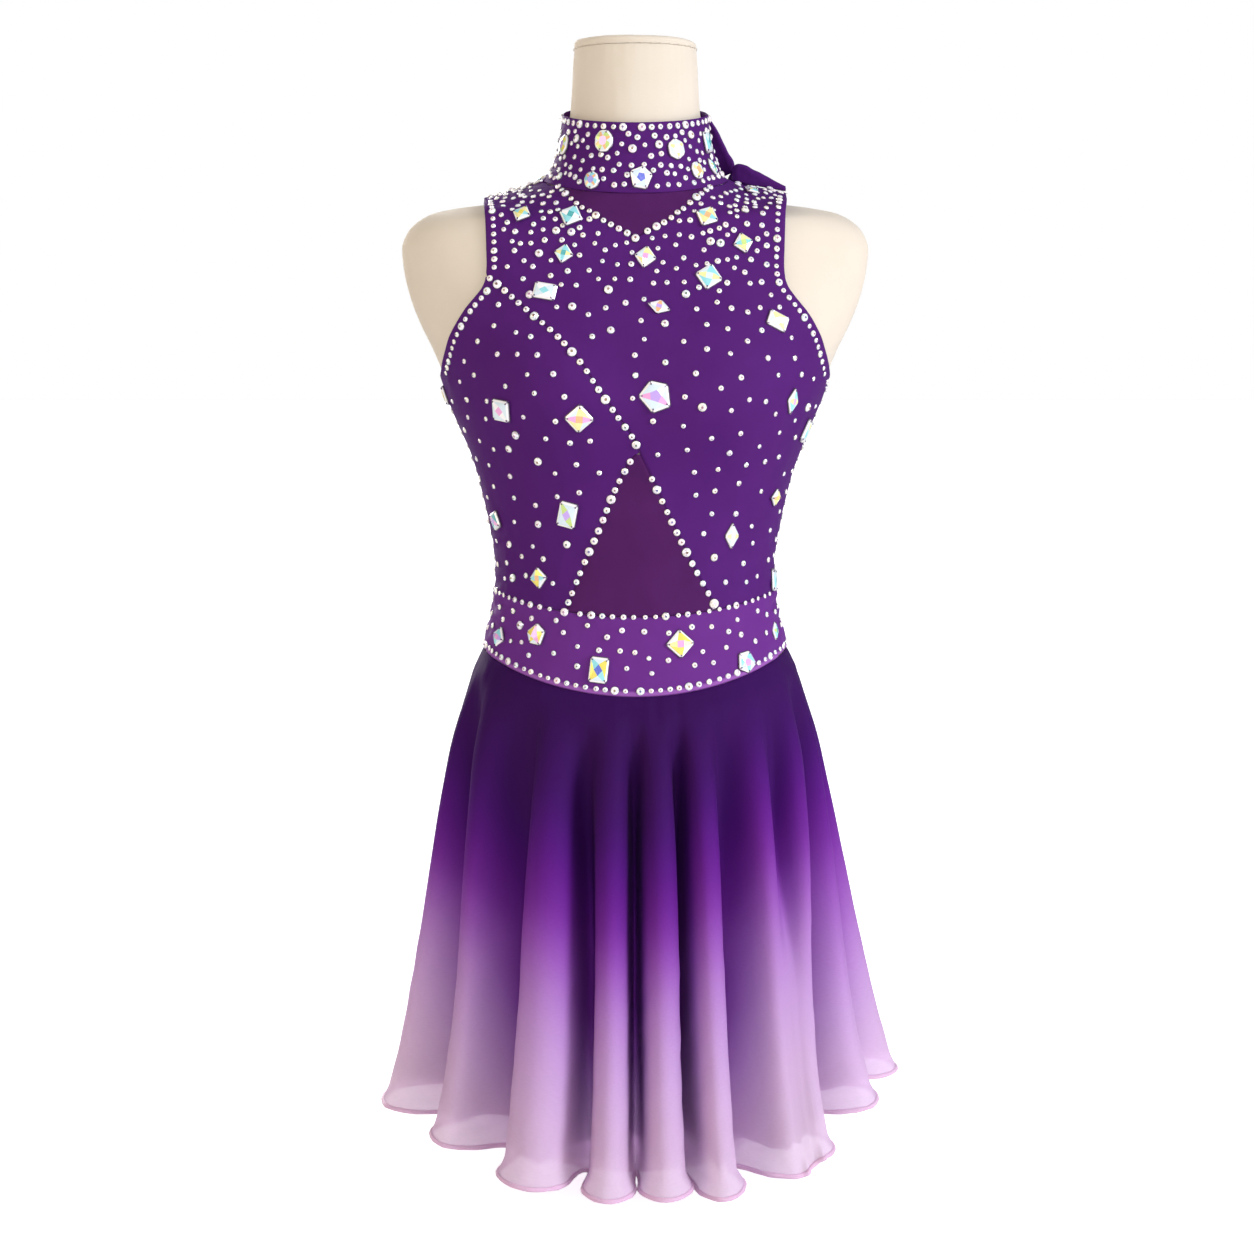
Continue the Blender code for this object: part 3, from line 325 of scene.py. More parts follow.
class Nodes:
    """A material's node tree with short ways to add to it."""

    def __init__(self, name):
        self.mat = bpy.data.materials.new(name)
        self.mat.use_nodes = True
        self.tree = self.mat.node_tree
        self.shader = self.tree.nodes["Principled BSDF"]

    def add(self, kind, **values):
        node = self.tree.nodes.new(kind)
        for key, value in values.items():
            setattr(node, key, value)
        return node

    def link(self, a, b):
        self.tree.links.new(a, b)

    def uv(self, name="metres"):
        return self.add("ShaderNodeUVMap", uv_map=name).outputs["UV"]

    def scaled(self, vector, scale, turn=0.0):
        node = self.add("ShaderNodeMapping")
        node.inputs["Scale"].default_value = scale if hasattr(scale, "__len__") else (scale, scale, scale)
        node.inputs["Rotation"].default_value = (0, 0, turn)
        self.link(vector, node.inputs["Vector"])
        return node.outputs["Vector"]

    def noise(self, vector, scale, detail=3.0, roughness=0.55):
        node = self.add("ShaderNodeTexNoise")
        node.inputs["Scale"].default_value = scale
        node.inputs["Detail"].default_value = detail
        node.inputs["Roughness"].default_value = roughness
        self.link(vector, node.inputs["Vector"])
        return node.outputs["Fac"]

    def wave(self, vector, scale, distortion=0.0, direction="X"):
        node = self.add("ShaderNodeTexWave", bands_direction=direction)
        node.inputs["Scale"].default_value = scale
        node.inputs["Distortion"].default_value = distortion
        self.link(vector, node.inputs["Vector"])
        return node.outputs["Fac"]

    def math(self, how, a, b=0.0, clamp=False):
        node = self.add("ShaderNodeMath", operation=how, use_clamp=clamp)
        for i, value in enumerate((a, b)):
            if hasattr(value, "node"):
                self.link(value, node.inputs[i])
            else:
                node.inputs[i].default_value = value
        return node.outputs[0]

    def ramp(self, fac, stops, mode="LINEAR"):
        node = self.add("ShaderNodeValToRGB")
        node.color_ramp.interpolation = mode
        while len(node.color_ramp.elements) < len(stops):
            node.color_ramp.elements.new(0.5)
        for element, (at, colour) in zip(node.color_ramp.elements, stops):
            element.position = at
            element.color = colour if hasattr(colour, "__len__") else (colour, colour, colour, 1)
        self.link(fac, node.inputs["Fac"])
        return node.outputs["Color"]

    def mix(self, fac, a, b, how="MIX"):
        node = self.add("ShaderNodeMix", data_type="RGBA", blend_type=how)
        for socket, value in ((node.inputs["Factor"], fac), (node.inputs[6], a), (node.inputs[7], b)):
            if hasattr(value, "node"):
                self.link(value, socket)
            else:
                socket.default_value = value
        return node.outputs[2]

    def bump(self, height, strength, distance):
        node = self.add("ShaderNodeBump")
        node.inputs["Strength"].default_value = strength
        node.inputs["Distance"].default_value = distance
        self.link(height, node.inputs["Height"])
        self.link(node.outputs["Normal"], self.shader.inputs["Normal"])
        return node

    def set(self, **values):
        for key, value in values.items():
            self.shader.inputs[key.replace("_", " ")].default_value = value


def jersey(name, colour, light, band=False):
    """Matt stretch jersey: a fine rib of knitted loops, with a little sheen."""
    m = Nodes(name)
    metres = m.uv()
    loops = m.math("MULTIPLY", m.wave(m.scaled(metres, 1.0), 520.0, 0.6), m.wave(m.scaled(metres, 1.0), 430.0, 0.8, "Y"))
    cloud = m.noise(m.scaled(metres, 1.0), 26.0, 3.0)
    grain = m.noise(m.scaled(metres, 1.0), 1400.0, 1.0)
    tone = m.mix(m.math("MULTIPLY", cloud, 1.0), colour, light)
    tone = m.mix(m.ramp(loops, ((0.0, 0.30), (1.0, 0.0))), tone, tuple(c * 0.55 for c in colour[:3]) + (1.0,))
    if band:
        share = m.add("ShaderNodeSeparateXYZ")
        m.link(m.uv("share"), share.inputs[0])
        edge = m.ramp(share.outputs["Y"], ((0.0, 0.0), (0.925, 0.0), (0.95, 0.55), (0.985, 0.55), (1.0, 0.1)))
        tone = m.mix(edge, tone, srgb(168, 106, 186))
    m.link(tone, m.shader.inputs["Base Color"])
    m.link(m.ramp(grain, ((0.0, 0.55), (1.0, 0.75))), m.shader.inputs["Roughness"])
    m.set(Sheen_Weight=0.03, Sheen_Roughness=0.4, Sheen_Tint=srgb(150, 80, 210), Specular_IOR_Level=0.06)
    m.bump(m.math("ADD", loops, m.math("MULTIPLY", grain, 0.4)), 0.35, 0.00025)
    return m.mat


def stretch_mesh(name, colour, dark):
    """Matt stretch mesh: a fine net over a second layer."""
    m = Nodes(name)
    metres = m.uv()
    a = m.wave(m.scaled(metres, 1.0, 0.785), 620.0, 0.2)
    b = m.wave(m.scaled(metres, 1.0, -0.785), 620.0, 0.2)
    net = m.math("MAXIMUM", a, b)
    cloud = m.noise(m.scaled(metres, 1.0), 30.0, 3.0)
    tone = m.mix(m.ramp(net, ((0.35, 0.0), (0.95, 1.0))), dark, colour)
    tone = m.mix(m.math("MULTIPLY", cloud, 0.35), tone, srgb(96, 42, 112))
    m.link(tone, m.shader.inputs["Base Color"])
    m.set(Roughness=0.85, Sheen_Weight=0.03, Sheen_Roughness=0.5, Sheen_Tint=srgb(170, 110, 190), Specular_IOR_Level=0.05)
    m.bump(net, 0.3, 0.0002)
    return m.mat


# The dip dye, by the share of the way down the skirt.
DYE_COLUMNS = ("v", "red", "green", "blue")
DYE = (
    (0.00, 49, 10, 74),
    (0.16, 57, 12, 88),
    (0.27, 75, 17, 114),
    (0.40, 112, 34, 149),
    (0.50, 156, 84, 188),
    (0.60, 193, 140, 213),
    (0.72, 215, 178, 226),
    (0.84, 228, 199, 232),
    (1.00, 238, 220, 237),
)


def chiffon(name, painted_shade_by=1.0, cover=((0.0, 0.95), (0.25, 0.90), (0.45, 0.82), (0.62, 0.74), (0.82, 0.64), (0.93, 0.54), (1.0, 0.50))):
    """Sheer crepe chiffon, dip dyed; light passes through it a little."""
    m = Nodes(name)
    share = m.add("ShaderNodeSeparateXYZ")
    m.link(m.uv("share"), share.inputs[0])
    metres = m.uv()
    wander = m.noise(m.scaled(metres, (1.0, 0.35, 1.0)), 16.0, 3.0)
    v = m.math("ADD", share.outputs["Y"], m.math("MULTIPLY", m.math("SUBTRACT", wander, 0.5), 0.05))
    # The whole dye can be darkened by one factor: painted shade, used for the under layer.
    colour = m.ramp(v, tuple((row[0], tuple(c * painted_shade_by for c in srgb(*row[1:])[:3]) + (1.0,)) for row in DYE), "B_SPLINE")
    threads = m.math("MULTIPLY", m.wave(m.scaled(metres, 1.0, 0.62), 560.0, 1.2), m.wave(m.scaled(metres, 1.0, -0.92), 520.0, 1.2))
    crepe = m.noise(m.scaled(metres, (1.0, 1.6, 1.0), 0.5), 480.0, 2.0)
    colour = m.mix(m.math("MULTIPLY", threads, 0.22), colour, (1.35, 1.30, 1.35, 1.0), "MULTIPLY")
    crinkle = m.noise(m.scaled(metres, (1.0, 0.22, 1.0), 0.55), 95.0, 4.0, 0.6)
    m.link(colour, m.shader.inputs["Base Color"])
    cover_at = m.ramp(v, tuple((at, value) for at, value in cover))
    m.link(m.math("ADD", cover_at, m.math("MULTIPLY", m.math("SUBTRACT", crepe, 0.5), 0.12), True), m.shader.inputs["Alpha"])
    m.set(Roughness=0.70, Sheen_Weight=0.04, Sheen_Roughness=0.45, Sheen_Tint=srgb(200, 150, 235), Specular_IOR_Level=0.08)
    bump = m.bump(m.math("ADD", m.math("MULTIPLY", threads, 0.35), m.math("MULTIPLY", crinkle, 2.3)), 0.36, 0.0006)
    glow = m.add("ShaderNodeBsdfTranslucent")
    m.link(colour, glow.inputs["Color"])
    m.link(bump.outputs["Normal"], glow.inputs["Normal"])
    both = m.add("ShaderNodeMixShader")
    m.link(m.ramp(v, ((0.0, 0.06), (0.35, 0.12), (0.6, 0.24), (1.0, 0.31))), both.inputs[0])
    out = m.tree.nodes["Material Output"]
    m.link(m.shader.outputs[0], both.inputs[1])
    m.link(glow.outputs[0], both.inputs[2])
    m.link(both.outputs[0], out.inputs["Surface"])
    return m.mat


def rolled_thread(name, colour, light):
    """Close overlock stitches over a rolled edge."""
    m = Nodes(name)
    metres = m.uv()
    turns = m.wave(m.scaled(metres, 1.0, 0.35), 330.0, 0.4)
    cloud = m.noise(metres, 60.0, 2.0)
    tone = m.mix(turns, colour, light)
    tone = m.mix(m.math("MULTIPLY", cloud, 0.4), tone, srgb(236, 214, 234))
    m.link(tone, m.shader.inputs["Base Color"])
    m.set(Roughness=0.5, Sheen_Weight=0.2, Specular_IOR_Level=0.35)
    m.bump(turns, 0.5, 0.0003)
    return m.mat


def cover_cloth(name):
    """The dress form's cream jersey cover."""
    m = Nodes(name)
    where = m.add("ShaderNodeTexCoord").outputs["Object"]
    metres = m.uv()
    rib = m.math("MULTIPLY", m.wave(m.scaled(metres, 1.0), 460.0, 0.7), m.wave(m.scaled(metres, 1.0), 380.0, 0.9, "Y"))
    cloud = m.noise(m.scaled(where, 1.0), 14.0, 4.0)
    slub = m.noise(m.scaled(where, (1.0, 1.0, 3.0)), 260.0, 2.0)
    tone = m.mix(m.ramp(cloud, ((0.3, 0.0), (0.75, 1.0))), srgb(217, 207, 193), srgb(210, 199, 184))
    tone = m.mix(m.ramp(slub, ((0.62, 0.0), (0.85, 0.35))), tone, srgb(214, 200, 176))
    tone = m.mix(m.ramp(rib, ((0.0, 0.16), (1.0, 0.0))), tone, srgb(206, 190, 164))
    m.link(tone, m.shader.inputs["Base Color"])
    m.set(Roughness=0.88, Sheen_Weight=0.15, Sheen_Roughness=0.5, Specular_IOR_Level=0.2)
    m.bump(m.math("ADD", m.math("MULTIPLY", rib, 0.5), m.math("MULTIPLY", slub, 0.9)), 0.28, 0.0004)
    return m.mat


def base_paint(name):
    m = Nodes(name)
    where = m.add("ShaderNodeTexCoord").outputs["Object"]
    peel = m.noise(where, 420.0, 2.0)
    wear = m.noise(where, 36.0, 5.0, 0.7)
    tone = m.mix(m.ramp(wear, ((0.45, 0.0), (0.8, 0.5))), srgb(236, 236, 234), srgb(222, 221, 217))
    m.link(tone, m.shader.inputs["Base Color"])
    m.link(m.ramp(wear, ((0.3, 0.34), (0.8, 0.5))), m.shader.inputs["Roughness"])
    m.bump(peel, 0.12, 0.0003)
    return m.mat


def brushed_steel(name):
    m = Nodes(name)
    where = m.add("ShaderNodeTexCoord").outputs["Object"]
    lines = m.noise(m.scaled(where, (900.0, 900.0, 14.0)), 1.0, 3.0)
    tone = m.mix(lines, srgb(176, 177, 180), srgb(206, 207, 210))
    m.link(tone, m.shader.inputs["Base Color"])
    m.link(m.ramp(lines, ((0.2, 0.24), (0.8, 0.42))), m.shader.inputs["Roughness"])
    m.set(Metallic=1.0)
    m.bump(lines, 0.1, 0.0002)
    return m.mat


def stone_glass(name):
    """Cut stones with a pearly coat: each facet keeps its own pale tint."""
    m = Nodes(name)
    tint = m.add("ShaderNodeVertexColor", layer_name="tint").outputs["Color"]
    where = m.add("ShaderNodeTexCoord").outputs["Object"]
    film = m.noise(m.scaled(where, 1.0), 900.0, 1.0)
    tone = m.mix(m.ramp(film, ((0.35, 0.0), (0.75, 0.14))), tint, srgb(244, 206, 226))
    m.link(tone, m.shader.inputs["Base Color"])
    m.link(m.ramp(film, ((0.2, 0.06), (0.8, 0.14))), m.shader.inputs["Roughness"])
    m.set(Metallic=0.12, Coat_Weight=0.8, Coat_Roughness=0.04, Coat_IOR=1.65, Specular_IOR_Level=0.7)
    return m.mat


PURPLE = srgb(84, 28, 112)
MATS = {
    "jersey": jersey("violet_jersey", srgb(75, 26, 103), srgb(86, 33, 115)),
    "band": jersey("violet_jersey_band", srgb(97, 41, 124), srgb(109, 50, 138), band=True),
    "mesh": stretch_mesh("violet_mesh", srgb(72, 28, 82), srgb(55, 19, 64)),
    "chiffon": chiffon("ombre_chiffon"),
    # The under layer is the same chiffon darkened to 0.80: painted shade where it lies under the outer layer.
    "under": chiffon("ombre_chiffon_under", 0.80, ((0.0, 0.99), (0.40, 0.96), (0.60, 0.90), (0.80, 0.84), (1.0, 0.80))),
    "hem": rolled_thread("hem_thread", srgb(206, 150, 196), srgb(228, 190, 218)),
    "cover": cover_cloth("cream_cover"),
    "paint": base_paint("white_base_paint"),
    "steel": brushed_steel("brushed_post_steel"),
    "stone": stone_glass("pearly_stones"),
}


# ------------------------------------------------------------------- meshes
def new_object(name, verts, faces, mat, metres=None, share=None, smooth=True, tints=None, sharp=None):
    mesh = bpy.data.meshes.new(name)
    mesh.from_pydata(np.asarray(verts, float).tolist(), [], faces)
    loops = np.zeros(len(mesh.loops), np.int32)
    mesh.loops.foreach_get("vertex_index", loops)
    for key, uv in (("metres", metres), ("share", share)):
        if uv is not None:
            layer = mesh.uv_layers.new(name=key)
            layer.data.foreach_set("uv", np.asarray(uv, np.float32)[loops].ravel())
    if tints is not None:
        layer = mesh.color_attributes.new("tint", "FLOAT_COLOR", "CORNER")
        sizes = np.array([len(f) for f in faces])
        layer.data.foreach_set("color", np.repeat(np.asarray(tints, np.float32), sizes, axis=0).ravel())
    mesh.polygons.foreach_set("use_smooth", np.full(len(mesh.polygons), smooth))
    if sharp is not None:
        mesh.set_sharp_from_angle(angle=math.radians(sharp))
    mesh.materials.append(mat)
    mesh.update()
    ob = bpy.data.objects.new(name, mesh)
    bpy.context.scene.collection.objects.link(ob)
    return ob


def grid_faces(high, wide, closed=False, start=0):
    j, i = np.meshgrid(np.arange(high - 1), np.arange(wide if closed else wide - 1), indexing="ij")
    k = (i + 1) % wide
    return (np.stack([j * wide + i, (j + 1) * wide + i, (j + 1) * wide + k, j * wide + k], axis=-1).reshape(-1, 4) + start)


def shell(name, outer, inner, faces, mat, metres, share):
    """A closed thin wall between two matching sheets; open edges are found and closed with a rounded strip."""
    outer, inner = outer.reshape(-1, 3), inner.reshape(-1, 3)
    n = len(outer)
    faces = np.asarray(faces)
    a = faces.ravel()
    b = np.roll(faces, -1, axis=1).ravel()
    key, back = a * n + b, b * n + a
    border = ~np.isin(key, back)
    ea, eb = a[border], b[border]
    # One more row of points half way round the edge, pushed out a little, rounds it.
    used = np.unique(np.concatenate([ea, eb]))
    place = np.full(n, -1)
    place[used] = np.arange(len(used))
    nxt = np.full(n, -1); nxt[ea] = eb
    prv = np.full(n, -1); prv[eb] = ea
    mid = (outer[used] + inner[used]) / 2
    along = outer[nxt[used]] - outer[prv[used]]
    thick = outer[used] - inner[used]
    push = unit(np.cross(along, thick)) * np.linalg.norm(thick, axis=-1, keepdims=True) * 0.35
    mid = mid + push
    verts = np.vstack([outer, inner, mid])
    m = 2 * n
    solid = faces.tolist() + (faces[:, ::-1] + n).tolist()
    for x, y in zip(ea.tolist(), eb.tolist()):
        px, py = int(place[x]) + m, int(place[y]) + m
        solid.append([y, x, px, py])
        solid.append([py, px, x + n, y + n])
    metres, share = np.asarray(metres).reshape(-1, 2), np.asarray(share).reshape(-1, 2)
    uv = np.vstack([metres, metres, metres[used]])
    sh = np.vstack([share, share, share[used]])
    return new_object(name, verts, solid, mat, uv, sh)


def flat_area(points, faces):
    p = points.reshape(-1, 3)[np.asarray(faces)]
    return float(np.linalg.norm(np.cross(p[:, 2] - p[:, 0], p[:, 3] - p[:, 1]), axis=-1).sum() / 2)


pieces = {}
sheets = []


def put(ob, slot, *nodes, sheet=None):
    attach(ob, "root")
    if nodes:
        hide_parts(*nodes)
    pieces[ob.name] = ob
    if sheet:
        sheets.append((ob, sheet))
    return ob


# --------------------------------------------------------- the dress form
def build_form():
    levels = np.concatenate([np.linspace(0, 3, 26), np.linspace(3, 16, 100)[1:], np.linspace(16, 36, 90)[1:], np.linspace(36, 40, 22)[1:]])
    columns = 144
    angles = 2 * math.pi * np.arange(columns) / columns
    lv, an = np.meshgrid(levels, angles, indexing="ij")
    pts = form_point(lv, an)
    n = form_normal(lv, an)
    z = pts[..., 2]
    # Soft upright puckers of the cover on the neck.
    neck = soft_step((z - 0.80) / 0.03)
    ripple = (noise(an * 7.0, z * 22, 3) * 0.5 + noise(an * 15.0, z * 30, 4) * 0.3) * 0.0005 * neck
    pts = pts + n * ripple[..., None]
    faces = grid_faces(len(levels), columns, True).tolist()
    count = len(levels) * columns
    # The flat top under the cap and the round bottom are filled by rings that shrink to the middle.
    rings = [pts.reshape(-1, 3)]
    uv = [np.stack([an * 0.11, z], axis=-1).reshape(-1, 2)]
    start = 0
    for sign, base in ((1, 0), (-1, (len(levels) - 1) * columns)):
        edge = rings[0][base:base + columns]
        centre = edge.mean(axis=0)
        last = base
        for share in (0.94, 0.8, 0.55, 0.25):
            ring = centre + (edge - centre) * share
            ring[:, 2] = edge[:, 2].mean() * (1 - 0) if sign < 0 else ring[:, 2]
            here = sum(len(r) for r in rings)
            rings.append(ring)
            uv.append(ring[:, :2].copy())
            for k in range(columns):
                m = (k + 1) % columns
                f = [last + k, last + m, here + m, here + k]
                faces.append(f if sign > 0 else f[::-1])
            last = here
        faces.append([last + k for k in range(columns)] if sign > 0 else [last + k for k in reversed(range(columns))])
    ob = new_object("form_cover_torso", np.vstack(rings), faces, MATS["cover"], np.vstack(uv), sharp=45)
    put(ob, "form_cover", "form_torso")

    # The covered disc on the neck: a flat top with a soft uneven edge.
    steps = 160
    t = 2 * math.pi * np.arange(steps) / steps
    wob = noise(t / (2 * math.pi) * 9, 0 * t, 11) * 0.5 + noise(t / (2 * math.pi) * 23, 0 * t, 12) * 0.3
    profile = ((0.0, 0.0), (-0.0001, 0.0009), (0.0002, 0.0024), (0.0001, 0.0038), (-0.0006, 0.0051), (-0.0019, 0.0061),
               (-0.0040, 0.0067), (-0.0075, 0.0070), (-0.0150, 0.0071), (-0.0270, 0.0070), (-0.0400, 0.0069), (-0.0460, 0.0069))
    rows = []
    for k, (dr, up) in enumerate(profile[::-1]):
        r = CAP_RADIUS - 0.0004 + dr
        lift = np.clip(up / 0.0071, 0, 1)
        soft = max(0.0, 1 + dr / 0.02) * lift
        rows.append(np.stack([r * np.sin(t) * (1 + 0.006 * wob * soft), -r * np.cos(t) * (1 + 0.006 * wob * soft) + 0.0009,
                              CAP_LOW + up + 0.00045 * wob * soft - 0.0009 * soft * np.sin(t + 0.5)], axis=-1))
    top = np.array(rows)
    faces = grid_faces(len(profile), steps, True).tolist()
    faces.append(list(range(steps)))
    faces.append([(len(profile) - 1) * steps + k for k in reversed(range(steps))])
    uv = np.stack([top[..., 0], top[..., 1] + top[..., 2]], axis=-1).reshape(-1, 2)
    ob = new_object("form_cover_cap", top.reshape(-1, 3), faces, MATS["cover"], uv, sharp=50)
    put(ob, "form_cover", "form_neck_cap")

    # Close hand stitches round the cap's seam.
    verts, faces = [], []
    r0 = CAP_RADIUS + 0.0002
    for k in range(74):
        a = 2 * math.pi * (k + 0.15 * math.sin(k * 2.3)) / 74
        for end in (0, 1):
            aa = a + (end - 0.5) * 0.034
            z = CAP_LOW - 0.0001 + (0.0006 if (k + end) % 2 else -0.0004)
            centre = np.array([r0 * math.sin(aa), -r0 * math.cos(aa) + 0.0009, z])
            for q in range(6):
                w = 2 * math.pi * q / 6
                verts.append(centre + 0.00028 * (math.cos(w) * np.array([math.sin(aa), -math.cos(aa), 0]) + math.sin(w) * np.array([0, 0, 1.0])))
        b = 12 * k
        faces += [[b + q, b + (q + 1) % 6, b + 6 + (q + 1) % 6, b + 6 + q] for q in range(6)]
        faces += [[b + q for q in reversed(range(6))], [b + 6 + q for q in range(6)]]
    verts = np.array(verts)
    put(new_object("form_cap_stitches", verts, faces, MATS["cover"], verts[:, [0, 2]]), "form_cover")

    def turned(name, profile, steps, mat, slot, node):
        t = 2 * math.pi * np.arange(steps) / steps
        pts = np.array([np.stack([r * np.sin(t), -r * np.cos(t), np.full(steps, z)], axis=-1) for r, z in profile])
        faces = grid_faces(len(profile), steps, True).tolist()
        faces.append(list(range(steps)))
        faces.append([(len(profile) - 1) * steps + k for k in reversed(range(steps))])
        uv = np.stack([pts[..., 0], pts[..., 1] + pts[..., 2]], axis=-1).reshape(-1, 2)
        put(new_object(name, pts.reshape(-1, 3), faces, mat, uv, sharp=35), slot, node)

    r, h = BASE_RADIUS, BASE_HEIGHT
    bend = [(r - 0.0015 + 0.0015 * math.sin(a), h - 0.0015 + 0.0015 * math.cos(a)) for a in np.linspace(0, math.pi / 2, 6)]
    turned("stand_base", [(POST_RADIUS + 0.004, h)] + bend + [(r, 0.0009), (r - 0.0009, 0.0)], 160, MATS["paint"], "base_paint", "form_base")
    turned("stand_post", [(POST_RADIUS, POST_TOP), (POST_RADIUS, h + SEAM_GAP)], 64, MATS["steel"], "post_steel", "form_post")


# ------------------------------------------------------------------ bodice
Q_LOW = NECKLINE - BODICE_LOW
Q_END = Q_LOW + 0.0550


def row_z(q, angle):
    """The ring height of a row; rows below BODICE_LOW bend down to the waistband's edge."""
    q = np.asarray(q, float)
    edge = edge_height(WAIST_TOP, angle) + SEAM_GAP * 0.8
    low = BODICE_LOW + (edge - BODICE_LOW) * (q - Q_LOW) / (Q_END - Q_LOW)
    return np.where(q <= Q_LOW, NECKLINE - q, low)


def rows_from(first, last=None):
    """Row numbers from one ring height down to another, or down to the waistband."""
    special = [NECKLINE - z for z in (V_APEX, DIAGONAL_TOP, TRIANGLE_TIP, SHOULDER_END, SIDE_SEAM_TOP, BODICE_LOW)]
    top = NECKLINE - first
    end = Q_END if last is None else NECKLINE - last
    near = [top + d for d in (0.0006, 0.0014, 0.0026)] + [end - d for d in (0.0006, 0.0014, 0.0026)]
    qs = np.array([top, end] + near + [s for s in special if top < s < end] + list(np.arange(top + 0.0045, end - 0.0035, 0.0024)))
    qs = np.unique(np.round(qs, 6))
    keep = [qs[0]]
    for q in qs[1:]:
        if q - keep[-1] > 0.00045:
            keep.append(q)
    keep[-1] = end
    return np.array(keep)


def crossing(q, line, shift=0.0):
    """The angles at which a seam line crosses the rows."""
    angle = np.zeros_like(q)
    for _ in range(6):
        z = row_z(q, angle)
        angle = angle_at_x(level_of(z), line_x(line, z) + shift)
    return angle


def outer_limit(q, armhole, behind=False):
    z = row_z(q, math.pi / 2)
    level = level_of(z)
    speed = np.linalg.norm(form_point(level, math.pi / 2 + 1e-3) - form_point(level, math.pi / 2 - 1e-3), axis=-1) / 2e-3
    gap = SEAM_GAP / 2 / speed
    seam = math.pi / 2 + (gap if behind else -gap)
    return np.where((z >= SHOULDER_END - 1e-9) | (z <= SIDE_SEAM_TOP + 1e-9), seam, angle_at_x(level, line_x(armhole, z), behind))


def shares(count, left=True, right=True):
    s = list(np.linspace(0.05 if left else 0, 0.95 if right else 1, count))
    if left:
        s = [0, 0.005, 0.012, 0.024] + s
    if right:
        s = s + [0.976, 0.988, 0.995, 1]
    return np.array(s)


def edge_profile(d, kind, along):
    """How far cloth stands in or out near an edge, by the distance d from it."""
    d = np.maximum(d, 0)
    if kind == "seam":
        pucker = noise(along * 95, 0 * along, 21) * 0.6 + noise(along * 210, 0 * along, 22) * 0.4
        return -0.0008 * np.exp(-(d / 0.0010) ** 2) + 0.00022 * pucker * np.exp(-d / 0.0045)
    if kind == "hem":
        turn = soft_step((0.0076 - d) / 0.0008)
        return -0.0006 * np.exp(-(d / 0.0006) ** 2) + 0.00030 * turn - 0.00012 * np.exp(-((d - 0.0074) / 0.0006) ** 2)
    return 0 * d


def wrinkle(pts, angle):
    """Soft unevenness of stretched cloth, with short creases above the waist at the sides."""
    x, z = pts[..., 0], pts[..., 2]
    soft = noise(angle * 9, z * 34, 31) * 0.00035 + noise(angle * 20, z * 70, 32) * 0.00012
    side = soft_step((np.abs(np.sin(angle)) - 0.55) / 0.35) * soft_step((0.53 - z) / 0.06) * soft_step((z - 0.40) / 0.02)
    crease = np.cos((z * 62 + angle * 1.3 + 0.5 * noise(angle * 5, z * 20, 33)) * 2 * math.pi)
    return soft + side * 0.00045 * crease


def panel(name, q, left, right, mat, columns, left_kind="seam", right_kind="seam", top=None, bottom="seam",
          out=BODICE_OUT, slot="jersey", label=None, cut=None):
    """A fine wall of cloth on the form between two edges given by an angle for each row."""
    s = shares(columns)
    an = left[:, None] + (right - left)[:, None] * s[None, :]
    qq = np.broadcast_to(q[:, None], an.shape)
    z = row_z(qq, an)
    lv = level_of(z)
    base = form_point(lv, an)
    nrm = form_normal(lv, an)
    along = np.concatenate([np.zeros((len(q), 1)), np.cumsum(np.linalg.norm(np.diff(base, axis=1), axis=-1), axis=1)], axis=1)
    width = along[:, -1:]
    down = np.concatenate([np.zeros((1, an.shape[1])), np.cumsum(np.linalg.norm(np.diff(base, axis=0), axis=-1), axis=0)], axis=0)
    depth = down[-1:, :]
    off = wrinkle(base, an)
    off = off + edge_profile(along, left_kind, base[..., 2]) + edge_profile(width - along, right_kind, base[..., 2])
    if top:
        off = off + edge_profile(down, top, base[..., 0])
    if bottom:
        off = off + edge_profile(depth - down, bottom, base[..., 0])
    outer = stood_up(base + nrm * (out + off)[..., None])
    inner = stood_up(base + nrm * (out - BODICE_THICK + off * 0.7)[..., None])
    faces = grid_faces(*an.shape)
    metres = np.stack([an * 0.112, base[..., 2]], axis=-1)
    share = np.stack([np.broadcast_to(s[None, :], an.shape), down / np.maximum(depth, 1e-6)], axis=-1)
    ob = shell(label or name, outer, inner, faces, mat, metres, share)
    put(ob, slot, name, sheet=(cut, flat_area(outer, faces)))
    return ob


